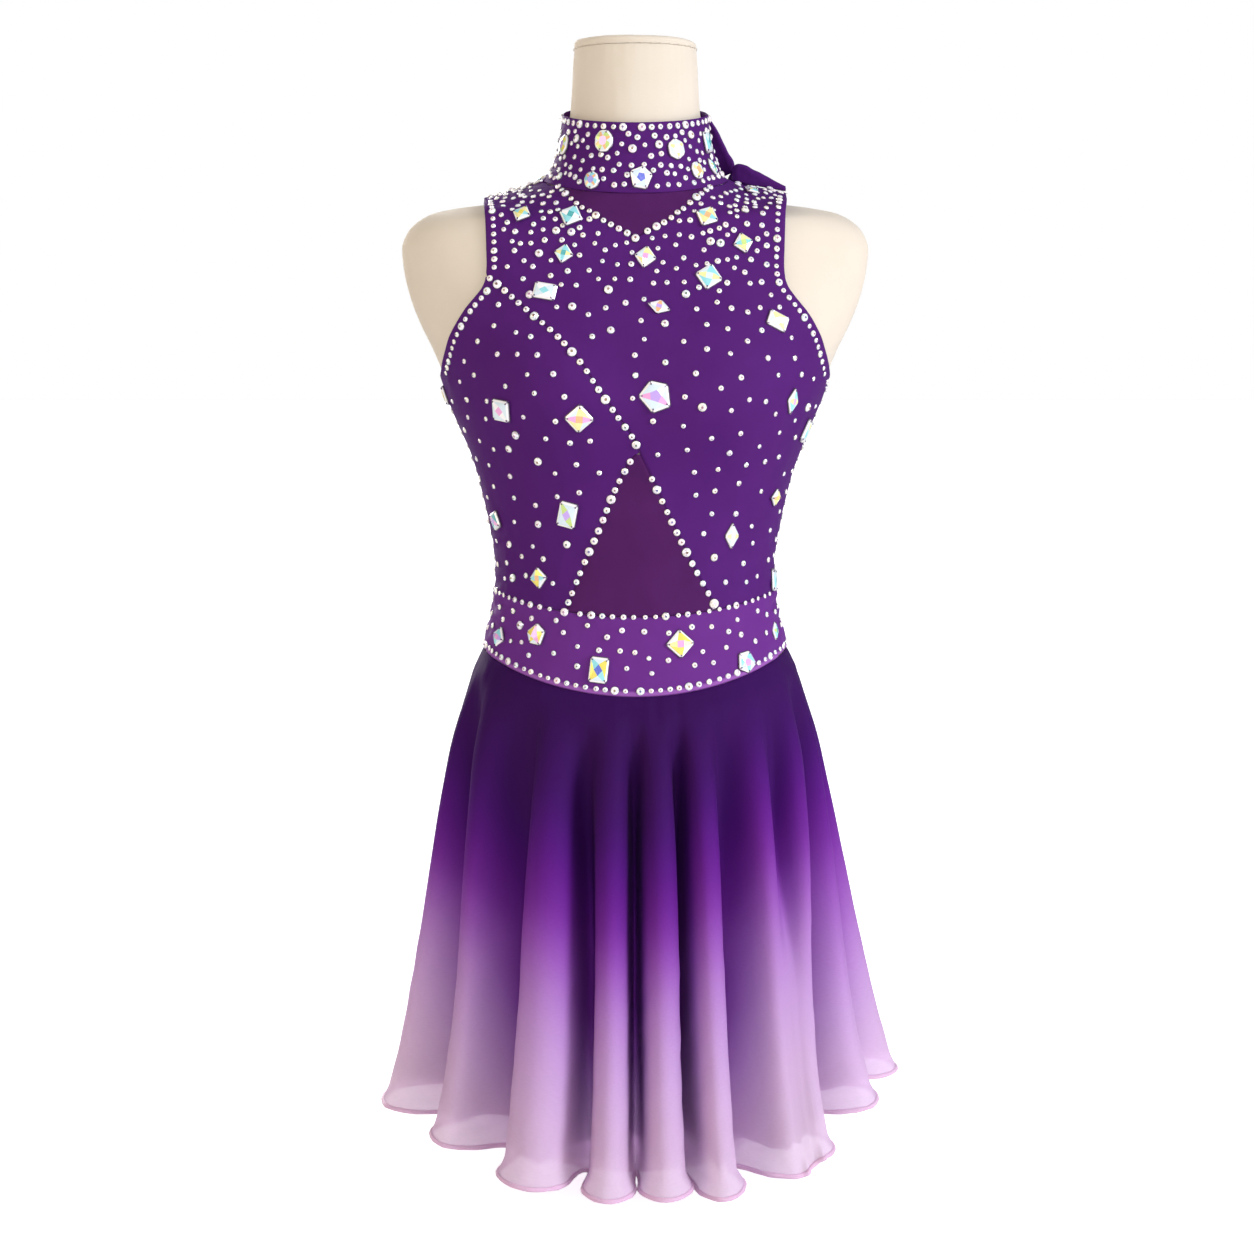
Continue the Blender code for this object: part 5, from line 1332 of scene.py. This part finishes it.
def stone_line(spot, where, z, angle, step, size=0.00225, big=0.0030, every=4.5, first=0.5):
    """Stones one by one along a line."""
    z, angle = np.asarray(z, float), np.asarray(angle, float)
    out = cloth_out(where, z, angle)
    points = cloth_point(level_of(z), angle, out)
    length = np.concatenate([[0], np.cumsum(np.linalg.norm(np.diff(points, axis=0), axis=-1))])
    at = step * first
    count = rng.uniform(0, every)
    while at < length[-1] - step * 0.3:
        zz, aa = float(np.interp(at, length, z)), float(np.interp(at, length, angle))
        oo = float(cloth_out(where, zz, aa))
        point = cloth_point(float(level_of(zz)), aa, oo)
        count += rng.uniform(0.7, 1.3)
        radius = big * rng.uniform(0.92, 1.12) if count >= every else size * rng.uniform(0.86, 1.14)
        if count >= every:
            count = 0
        if spot.clear(point, radius * 1.6):
            spot.add(float(level_of(zz)), aa, oo - 0.0002, radius, point, radius + 0.0026)
        at += step * rng.uniform(0.90, 1.12) + (radius - size)


def inside_bodice(z, angle):
    """Whether a stone may be there: on the panels, clear of the insert, the triangle and the armholes."""
    x = float(form_point(float(level_of(z)), angle)[0])
    front = math.cos(angle) > 0
    if z > NECKLINE - 0.004 or z < float(edge_height(WAIST_TOP, angle)) + 0.0055:
        return False
    if SIDE_SEAM_TOP < z < SHOULDER_END and abs(x) > float(line_x(ARMHOLE_FRONT if front else ARMHOLE_BACK, z)) - 0.0095:
        return False
    if front and z > V_APEX - 0.004 and float(line_x(NECK_V_LEFT, z)) - 0.006 < x < float(line_x(NECK_V_RIGHT, z)) + 0.006:
        return False
    if front and z < TRIANGLE_TIP + 0.004 and float(line_x(TRIANGLE_LEFT, z)) - 0.006 < x < float(line_x(TRIANGLE_RIGHT, z)) + 0.006:
        return False
    return True


SPACING_COLUMNS = ("z", "metres")
SPACING = smooth_through((0.0, 0.025, 0.045, 0.060, 0.080, 0.110, 0.150, 0.240, 0.290, 0.330),
                         (0.0067, 0.0070, 0.0078, 0.0088, 0.0108, 0.0148, 0.0188, 0.0194, 0.0170, 0.0136))


def scatter(spot, where, low, high, start, end, allowed, spacing, tries, size=0.00208):
    """Stones thrown on one by one, each keeping its distance from those before."""
    z = rng.uniform(low, high, tries)
    angle = rng.uniform(start, end, tries)
    out = cloth_out(where, z, angle)
    level = level_of(z)
    points = cloth_point(level, angle, out)
    for k in range(tries):
        want = spacing(z[k]) * (1.0 if rng.random() < 0.75 else 0.78)
        if not spot.clear(points[k], want) or not allowed(float(z[k]), float(angle[k])):
            continue
        radius = size * rng.uniform(0.84, 1.12) if rng.random() < 0.90 else 0.0031 * rng.uniform(0.9, 1.1)
        spot.add(float(level[k]), float(angle[k]), float(out[k]) - 0.0002, radius, points[k], radius + 0.0030)


def stones_mesh(name, spots):
    """spots: rows of (level, angle, out, radius, turn)."""
    unit_v, unit_f, group = round_stone()
    unit_f = check_out(unit_v, unit_f)
    spots = np.array(spots)
    p, n, side, up = frame_at(spots[:, 0], spots[:, 1], spots[:, 2])
    verts, faces, tints = [], [], []
    for k in range(len(spots)):
        r, turn = spots[k, 3], spots[k, 4]
        c, s = math.cos(turn), math.sin(turn)
        lean = rng.normal(0, 0.05, 2)
        x = unit_v[:, 0] * c - unit_v[:, 1] * s
        y = unit_v[:, 0] * s + unit_v[:, 1] * c
        h = unit_v[:, 2] + np.where(unit_v[:, 2] > 0.15, lean[0] * x + lean[1] * y, 0)
        verts.append(p[k] + r * (x[:, None] * side[k] + y[:, None] * up[k] + h[:, None] * n[k]))
        base = k * len(unit_v)
        faces += [[i + base for i in f] for f in unit_f]
        body = PALE[rng.integers(len(PALE))]
        heart = HEART[rng.integers(len(HEART))]
        for g in group:
            # Foot faces: the dark foil edge with a painted contact shadow.
            if g == 0:
                tints.append(RIM_FOIL_AND_SHADOW)
            # The sides take the body's tint darkened to 0.70: painted shade.
            elif g == 1:
                tints.append(tuple(0.70 * c for c in body))
            elif g == 3:
                tints.append(heart)
            else:
                tints.append(body if rng.random() < 0.80 else SHADE[rng.integers(len(SHADE))])
    tints = np.hstack([np.array(tints), np.ones((len(tints), 1))])
    ob = new_object(name, np.vstack(verts), faces, MATS["stone"], smooth=False, tints=tints)
    put(ob, "stones")
    return ob


AB = {
    "white": (250, 250, 250), "ice": (218, 238, 246), "cyan": (140, 222, 228), "teal": (52, 172, 174), "lemon": (246, 238, 158),
    "yellow": (238, 220, 74), "lime": (200, 228, 122), "pink": (244, 168, 222), "lilac": (196, 164, 240), "blue": (88, 106, 212),
    "orange": (246, 184, 120),
}
OUTLINES = {
    "rhomb": [(0, 1), (-0.62, 0), (0, -1), (0.62, 0)],
    "diamond": [(0, 1), (-0.95, 0), (0, -1), (0.95, 0)],
    "square": [(0.88, 0.88), (-0.88, 0.88), (-0.88, -0.88), (0.88, -0.88)],
    "oblong": [(0.74, 1), (-0.74, 1), (-0.74, -1), (0.74, -1)],
    "octagon": [(0.38, 1), (-0.38, 1), (-0.86, 0.45), (-0.86, -0.45), (-0.38, -1), (0.38, -1), (0.86, -0.45), (0.86, 0.45)],
    "hexagon": [(0, 1), (-0.80, 0.5), (-0.80, -0.5), (0, -1), (0.80, -0.5), (0.80, 0.5)],
    "pentagon": [(0.15, 1), (-0.95, 0.55), (-0.70, -0.80), (0.45, -1.0), (0.98, 0.25)],
    "leaf": [(0, 1), (-0.42, 0.45), (-0.50, -0.1), (-0.28, -0.7), (0, -1), (0.28, -0.7), (0.50, -0.1), (0.42, 0.45)],
}
# The sew-on stones in front.  z is the ring height at the side, half_mm half the stone's height; the last three are the
# tints of its facets.
SEWN_COLUMNS = ("z", "x", "outline", "half_mm", "turn", "crown", "crown_two", "heart")
SEWN = (
    (0.8005, -0.0499, "octagon", 7.6, 0, "yellow", "lime", "lilac"),
    (0.8076, -0.0216, "octagon", 8.2, 0, "lime", "orange", "pink"),
    (0.8010, 0.0283, "hexagon", 8.6, 8, "ice", "lemon", "pink"),
    (0.7772, -0.0314, "octagon", 6.8, 20, "cyan", "orange", "blue"),
    (0.7809, 0.0041, "pentagon", 9.0, 0, "white", "ice", "blue"),
    (0.8024, 0.0504, "oblong", 8.2, 5, "cyan", "ice", "teal"),
    (0.7831, 0.0551, "leaf", 7.4, 25, "cyan", "lime", "teal"),
    (0.7831, 0.0442, "octagon", 6.6, 10, "lemon", "ice", "orange"),
    (0.7460, -0.0861, "diamond", 8.4, -18, "lemon", "cyan", "yellow"),
    (0.7461, -0.0487, "square", 8.0, 24, "cyan", "white", "teal"),
    (0.7123, -0.0540, "diamond", 8.2, -12, "cyan", "lemon", "teal"),
    (0.7095, 0.0075, "diamond", 9.2, -10, "lemon", "ice", "pink"),
    (0.7454, 0.0542, "square", 7.6, 18, "lemon", "cyan", "orange"),
    (0.7217, 0.0814, "diamond", 8.6, 12, "lemon", "cyan", "lime"),
    (0.6933, 0.0552, "square", 8.8, 32, "cyan", "lemon", "ice"),
    (0.7600, 0.0902, "diamond", 7.2, 10, "cyan", "lemon", "teal"),
    (0.6820, -0.0682, "oblong", 8.6, 80, "white", "ice", "cyan"),
    (0.6699, 0.0178, "rhomb", 9.4, 72, "white", "orange", "lilac"),
    (0.6600, 0.1064, "oblong", 8.4, 64, "lemon", "white", "yellow"),
    (0.5939, -0.0996, "square", 9.4, -8, "ice", "white", "pink"),
    (0.5884, -0.0423, "square", 9.2, 42, "lemon", "pink", "orange"),
    (0.6044, 0.0156, "pentagon", 12.2, 30, "ice", "pink", "lilac"),
    (0.6006, 0.1173, "rhomb", 10.4, -8, "cyan", "lemon", "pink"),
    (0.5141, -0.0509, "oblong", 9.8, -14, "ice", "lime", "lilac"),
    (0.4970, 0.0725, "rhomb", 10.6, 0, "ice", "lemon", "white"),
    (0.4639, -0.0729, "diamond", 8.8, 6, "yellow", "cyan", "orange"),
    (0.6044, -0.1460, "oblong", 7.6, 0, "yellow", "teal", "lemon"),
    (0.5774, 0.1305, "oblong", 9.2, -12, "cyan", "lemon", "ice"),
    (0.5070, -0.1060, "square", 7.6, 20, "teal", "pink", "lilac"),
    (0.5257, 0.1061, "diamond", 7.4, 0, "lemon", "orange", "yellow"),
    (0.4581, 0.1058, "oblong", 8.4, -6, "cyan", "ice", "teal"),
    (0.4197, -0.0747, "pentagon", 8.4, 150, "yellow", "pink", "lilac"),
    (0.4148, 0.0336, "square", 9.2, 48, "yellow", "lemon", "pink"),
    (0.3949, -0.0275, "oblong", 9.8, -6, "yellow", "cyan", "blue"),
    (0.3981, 0.0836, "pentagon", 8.8, 200, "cyan", "ice", "pink"),
    (0.4148, -0.1039, "square", 7.0, 30, "cyan", "lilac", "pink"),
    (0.4185, 0.1072, "rhomb", 8.0, -14, "cyan", "lime", "teal"),
)


def sewn_stone(outline, half):
    """A sew-on stone: a bevelled outline, a cut crown and a small table."""
    pts = np.array(OUTLINES[outline], float) * half
    n = len(pts)
    cut = 0.10 if n <= 5 else 0.16
    ring = []
    for k in range(n):
        a, b, c = pts[k - 1], pts[k], pts[(k + 1) % n]
        ring += [b + (a - b) * cut, b + (c - b) * cut]
    ring = np.array(ring)
    m = len(ring)
    layers = [np.column_stack([ring * s, np.full(m, h)]) for s, h in ((1.05, 0.0), (1.06, 0.0004), (1.0, 0.0009), (0.98, 0.0014), (0.84, 0.0023))]
    mid = (pts + np.roll(pts, -1, axis=0)) / 2
    table = np.column_stack([mid * 0.46, np.full(n, 0.0031)])
    verts = np.vstack(layers + [table])
    faces, group = [], []
    for layer, g in ((0, 0), (1, 0), (2, 1), (3, 2)):
        for k in range(m):
            j = (k + 1) % m
            faces.append([layer * m + k, layer * m + j, (layer + 1) * m + j, (layer + 1) * m + k])
            group.append(g)
    c0, t0 = 4 * m, 5 * m
    for k in range(n):
        # The cut corner's own facet, then the side's.
        a, b = c0 + 2 * k, c0 + 2 * k + 1
        nxt = c0 + (2 * k + 2) % m
        faces += [[a, b, t0 + k, t0 + (k - 1) % n], [b, nxt, t0 + k]]
        group += [3 + k % 2, 5 + k % 2]
    faces.append([t0 + k for k in range(n)])
    group.append(7)
    faces.append([k for k in reversed(range(m))])
    group.append(0)
    return verts, faces, group, pts


def sewn_mesh(name, rows):
    verts, faces, tints = [], [], []
    count = 0
    for where, z, x, outline, half, turn, first, second, heart, behind in rows:
        level = float(level_of(z))
        angle = float(angle_at_x(level, x, behind))
        p, n, side, up = frame_at(level, angle, float(cloth_out(where, z, angle)) + 0.0001)
        v, f, group, corners = sewn_stone(outline, half * MM)
        f = check_out(v, f)
        c, s = math.cos(math.radians(turn)), math.sin(math.radians(turn))
        # Tone 0 is the dark foot, the foil edge with a painted contact shadow; tone 1 greys the sides as painted shade.
        tones = {0: RIM_FOIL_AND_SHADOW, 1: srgb(198, 196, 206)[:3], 2: srgb(254, 253, 250)[:3], 3: srgb(*AB[first])[:3], 4: srgb(*AB[second])[:3],
                 5: srgb(*AB["ice"])[:3], 6: srgb(*AB[first])[:3], 7: srgb(*AB[heart])[:3]}
        parts = [(v, f, [tones[g] for g in group])]
        # Sewing holes near the corners, each with the thread that goes from it over the edge.
        use = [k for k in range(len(corners)) if len(corners) <= 5 or k % (len(corners) // 2) == 0]
        if outline == "rhomb":
            use = [0, 2]
        for k in use:
            at = corners[k] * 0.78
            steps = 8
            hole = np.array([(at[0] + 0.00062 * math.cos(q), at[1] + 0.00062 * math.sin(q), h)
                             for h in (0.0012, 0.00268) for q in 2 * math.pi * np.arange(steps) / steps])
            hf = [[q, (q + 1) % steps, steps + (q + 1) % steps, steps + q] for q in range(steps)]
            hf += [[steps + q for q in range(steps)], [q for q in reversed(range(steps))]]
            # The holes are a dark purple: the cloth seen through them, darkened as painted shade in the hole.
            parts.append((hole, hf, [srgb(28, 12, 60)[:3]] * len(hf)))
            rim = corners[k] * 1.0
            way = unit(rim - at)
            across = np.array([-way[1], way[0]]) * 0.00020
            bar = []
            for xy, h in ((at, 0.0027), (corners[k] * 0.90, 0.0024), (rim * 0.99, 0.0011), (rim * 1.03, 0.0)):
                bar += [(xy[0] - across[0], xy[1] - across[1], h - 0.0001), (xy[0] + across[0], xy[1] + across[1], h - 0.0001),
                        (xy[0] + across[0], xy[1] + across[1], h + 0.0002), (xy[0] - across[0], xy[1] - across[1], h + 0.0002)]
            bf = []
            for q in range(3):
                b = 4 * q
                bf += [[b + e, b + (e + 1) % 4, b + 4 + (e + 1) % 4, b + 4 + e] for e in range(4)]
            bf += [[0, 3, 2, 1], [12, 13, 14, 15]]
            parts.append((np.array(bar), bf, [srgb(88, 40, 118)[:3]] * len(bf)))
        for pv, pf, pt in parts:
            px = pv[:, 0] * c - pv[:, 1] * s
            py = pv[:, 0] * s + pv[:, 1] * c
            verts.append(p + px[:, None] * side + py[:, None] * up + pv[:, 2:3] * n)
            faces += [[i + count for i in face] for face in pf]
            tints += pt
            count += len(pv)
    tints = np.hstack([np.array(tints), np.ones((len(tints), 1))])
    ob = new_object(name, np.vstack(verts), faces, MATS["stone"], smooth=False, tints=tints)
    put(ob, "stones")
    return ob


def line_rows(line, shift=0.0, sign=1, count=160, behind=False):
    """The ring heights and angles along a seam line."""
    z = np.linspace(line[0][0], line[-1][0], count)
    x = line_x(line, z) + shift
    return z, angle_at_x(level_of(z), sign * x, behind)


def build_stones():
    # Where each sew-on stone goes; those behind are the front's, mirrored and moved a little.
    rows = []
    for z, x, outline, half, turn, first, second, heart in SEWN:
        angle = float(angle_at_x(float(level_of(z)), x))
        where = "collar" if z > COLLAR_LOW else ("band" if z < float(edge_height(WAIST_TOP, angle)) else "bodice")
        rows.append([where, z, x, outline, half, turn, first, second, heart, False])
    behind = []
    for where, z, x, outline, half, turn, first, second, heart, _ in rows:
        if abs(x) > 0.098 or (where == "bodice" and 0.700 < z and abs(x) < 0.02):
            continue
        z2 = z + (0.0 if where != "bodice" else float(rng.uniform(-0.010, 0.010)))
        if where == "band":
            z2 = z + float(edge_height(WAIST_LOW, math.pi) - edge_height(WAIST_LOW, 0.0)) * 0.6
        behind.append([where, z2, -x * float(rng.uniform(0.9, 1.05)), outline, half, -turn, second, first, heart, True])
    behind += [["bodice", 0.6350, -0.0200, "rhomb", 9.6, 30, "ice", "lemon", "pink", True],
               ["bodice", 0.5500, 0.0250, "diamond", 9.0, 10, "lemon", "cyan", "lilac", True],
               ["bodice", 0.5350, -0.0900, "square", 8.6, 20, "cyan", "lemon", "pink", True]]
    everything = rows + behind

    spots = {"collar": Spot(), "front": Spot(), "back": Spot(), "band": Spot()}
    for where, z, x, outline, half, turn, first, second, heart, back in everything:
        level = float(level_of(z))
        angle = float(angle_at_x(level, x, back))
        point = cloth_point(level, angle, 0.003)
        for spot in ([spots[where]] if where in spots else [spots["front"], spots["back"]]):
            spot.block(point, half * MM * 0.86 + 0.0026)

    # Collar: a row under its top edge, then all over.
    spot = spots["collar"]
    turn = np.linspace(0.02, 2 * math.pi - 0.02, 400)
    stone_line(spot, "collar", np.full(400, COLLAR_TOP - 0.0034), turn, 0.0074)
    scatter(spot, "collar", COLLAR_LOW + 0.0035, COLLAR_TOP - 0.0075, 0, 2 * math.pi, lambda z, a: True, lambda z: 0.0078, 6500)

    # Front and back of the bodice: lines along the seams and the armholes first.
    spot = spots["front"]
    big = {"size": 0.0024, "big": 0.0034}
    for line in (NECK_V_LEFT, NECK_V_RIGHT):
        z, a = line_rows(line[:-1])
        stone_line(spot, "bodice", z, a, 0.0068, size=0.0023, big=0.0031)
    level = float(level_of(V_APEX - 0.0008))
    point = cloth_point(level, 0.0, BODICE_OUT)
    if spot.clear(point, 0.003):
        spot.add(level, 0.0, BODICE_OUT, 0.0031, point, 0.0055)
    z, a = line_rows(DIAGONAL)
    stone_line(spot, "bodice", z, a, 0.0080, **big)
    for line in (TRIANGLE_LEFT, TRIANGLE_RIGHT):
        z, a = line_rows(line[1:])
        stone_line(spot, "bodice", z, a, 0.0086, size=0.0025, big=0.0034, every=5)
    for side in (-1, 1):
        z, a = line_rows(ARMHOLE_FRONT, -0.0060, side)
        stone_line(spot, "bodice", z, a, 0.0066, size=0.0021, big=0.0028)
        z = np.linspace(NECKLINE - 0.003, SHOULDER_END + 0.0006, 120)
        stone_line(spot, "bodice", z, np.full(120, side * math.radians(86.0)), 0.0066, size=0.0021, big=0.0028)
        z = np.linspace(SIDE_SEAM_TOP - 0.004, 0.456, 200)
        stone_line(spots["front"], "bodice", z, np.full(200, side * math.radians(87.5)), 0.0098, size=0.0021, big=0.0027)
        z, a = line_rows(ARMHOLE_BACK, -0.0060, side, behind=True)
        stone_line(spots["back"], "bodice", z, a, 0.0066, size=0.0021, big=0.0028)
    # Along the waist seam, round the whole dress.
    for spot, start, end in ((spots["front"], -math.pi / 2, math.pi / 2), (spots["back"], math.pi / 2, 3 * math.pi / 2)):
        a = np.linspace(start + 0.02, end - 0.02, 400)
        stone_line(spot, "bodice", edge_height(WAIST_TOP, a), a, 0.0082, size=0.0020, big=0.0028, every=6)

    def spacing(z):
        return float(SPACING(NECKLINE - z))

    scatter(spots["front"], "bodice", 0.452, NECKLINE - 0.003, -math.pi / 2 + 0.03, math.pi / 2 - 0.03, inside_bodice, spacing, 9000)
    scatter(spots["back"], "bodice", 0.452, NECKLINE - 0.003, math.pi / 2 + 0.03, 3 * math.pi / 2 - 0.03, inside_bodice, spacing, 9000)

    spot = spots["band"]
    a = np.linspace(0, 2 * math.pi, 800)
    stone_line(spot, "band", edge_height(WAIST_LOW, a) + 0.0044, a, 0.0078, size=0.0021, big=0.0029, every=5)

    def on_band(z, angle):
        return float(edge_height(WAIST_LOW, angle)) + 0.0100 < z < float(edge_height(WAIST_TOP, angle)) - 0.0075

    scatter(spot, "band", 0.384, 0.444, 0, 2 * math.pi, on_band, lambda z: 0.0142, 6000)

    for key, name in (("collar", "stones_collar"), ("front", "stones_front"), ("back", "stones_back"), ("band", "stones_waistband")):
        stones_mesh(name, spots[key].rows)
    sewn_mesh("sewn_stones_front", rows)
    sewn_mesh("sewn_stones_back", behind)
    print("stones", {key: len(spots[key].rows) for key in spots})


# --------------------------------------------------------------- the studio
def build_stage():
    world = bpy.data.worlds.new("studio")
    bpy.context.scene.world = world
    world.use_nodes = True
    tree = world.node_tree
    tree.nodes.clear()
    out = tree.nodes.new("ShaderNodeOutputWorld")
    back = tree.nodes.new("ShaderNodeBackground")
    back.inputs["Color"].default_value = (1, 1, 1, 1)
    back.inputs["Strength"].default_value = 1.0
    soft = tree.nodes.new("ShaderNodeBackground")
    # Softer and brighter from the wearer's left and the front.
    where = tree.nodes.new("ShaderNodeTexCoord")
    lean = tree.nodes.new("ShaderNodeVectorMath")
    lean.operation = "DOT_PRODUCT"
    lean.inputs[1].default_value = (0.62, -0.52, 0.42)
    ramp = tree.nodes.new("ShaderNodeMapRange")
    ramp.inputs["From Min"].default_value = -1.0
    ramp.inputs["From Max"].default_value = 1.0
    ramp.inputs["To Min"].default_value = 0.14
    ramp.inputs["To Max"].default_value = 0.60
    tree.links.new(where.outputs["Generated"], lean.inputs[0])
    tree.links.new(lean.outputs["Value"], ramp.inputs["Value"])
    tree.links.new(ramp.outputs["Result"], soft.inputs["Strength"])
    soft.inputs["Color"].default_value = (0.97, 0.98, 1.0, 1)
    ray = tree.nodes.new("ShaderNodeLightPath")
    mix = tree.nodes.new("ShaderNodeMixShader")
    tree.links.new(ray.outputs["Is Camera Ray"], mix.inputs[0])
    tree.links.new(soft.outputs[0], mix.inputs[1])
    tree.links.new(back.outputs[0], mix.inputs[2])
    tree.links.new(mix.outputs[0], out.inputs["Surface"])

    bpy.ops.mesh.primitive_plane_add(size=60.0, location=(0, 0, 0))
    floor = bpy.context.object
    floor.name = "studio_floor"
    m = Nodes("pale_floor")
    m.set(Roughness=0.9, Specular_IOR_Level=0.05)
    where = m.add("ShaderNodeTexCoord").outputs["Object"]
    tone = m.mix(m.noise(where, 3.0, 2.0), (0.86, 0.86, 0.86, 1), (0.88, 0.88, 0.88, 1))
    m.link(tone, m.shader.inputs["Base Color"])
    # The floor is lit on its own as well, as a studio sweep is, so that it stays near white.
    own = m.math("MULTIPLY", m.add("ShaderNodeLightPath").outputs["Is Camera Ray"], 0.72)
    m.shader.inputs["Emission Color"].default_value = (1, 1, 1, 1)
    m.link(own, m.shader.inputs["Emission Strength"])
    floor.data.materials.append(m.mat)

    def sun(name, direction, strength, angle, colour=(1, 1, 1)):
        light = bpy.data.lights.new(name, "SUN")
        light.energy = strength
        light.angle = math.radians(angle)
        light.color = colour
        ob = bpy.data.objects.new(name, light)
        ob.rotation_mode = "QUATERNION"
        ob.rotation_quaternion = Vector(direction).to_track_quat("Z", "Y")
        bpy.context.scene.collection.objects.link(ob)

    sun("key", (0.88, -0.48, 0.34), 1.98, 20, (0.97, 0.99, 1.06))
    sun("front", (0.03, -0.957, 0.285), 0.62, 10, (0.98, 0.98, 1.0))
    sun("fill", (-0.85, -0.45, 0.20), 1.08, 40, (1.0, 0.78, 0.50))
    sun("rear", (-0.35, 0.90, 0.26), 2.40, 30, (1.0, 0.98, 0.96))

    box = bpy.data.lights.new("low_softbox", "AREA")
    box.shape = "RECTANGLE"
    box.size, box.size_y = 1.2, 0.5
    box.energy = 7.0
    box.color = (0.98, 0.98, 1.0)
    ob = bpy.data.objects.new("low_softbox", box)
    ob.location = (1.45, -1.25, 0.30)
    ob.rotation_mode = "QUATERNION"
    ob.rotation_quaternion = (ob.location - Vector((0, 0, 0.40))).to_track_quat("Z", "Y")
    ob.visible_camera = False
    bpy.context.scene.collection.objects.link(ob)

    # A hidden soft light on the stand's base, as a white sweep gives, so that the cloth glows from within.
    glow = bpy.data.lights.new("floor_bounce", "AREA")
    glow.shape = "DISK"
    glow.size = 0.17
    glow.energy = 0.35
    glow.color = (1.0, 0.95, 1.0)
    ob = bpy.data.objects.new("floor_bounce", glow)
    ob.location = (0, 0, 0.014)
    ob.rotation_euler = (math.pi, 0, 0)
    ob.visible_camera = False
    bpy.context.scene.collection.objects.link(ob)

    cam = bpy.data.cameras.new("camera")
    cam.sensor_width = 36.0
    cam.lens = 36.0 * 2500 / 1254
    ob = bpy.data.objects.new("camera", cam)
    ob.location = (-0.0064, -1.988, 0.638)
    ob.rotation_euler = (math.radians(90 - 6.3), 0, 0)
    bpy.context.scene.collection.objects.link(ob)
    bpy.context.scene.camera = ob
    bpy.context.scene.view_settings.view_transform = "Standard"


build_stage()
build_form()
build_front()
build_back()
build_collar()
build_waistbands()
build_skirt()
build_tie()
build_stones()

for ob, sheet in sheets:
    size, area = sheet[0], sheet[1]
    area = min(area, size[0] * size[1])

bpy.context.view_layer.update()
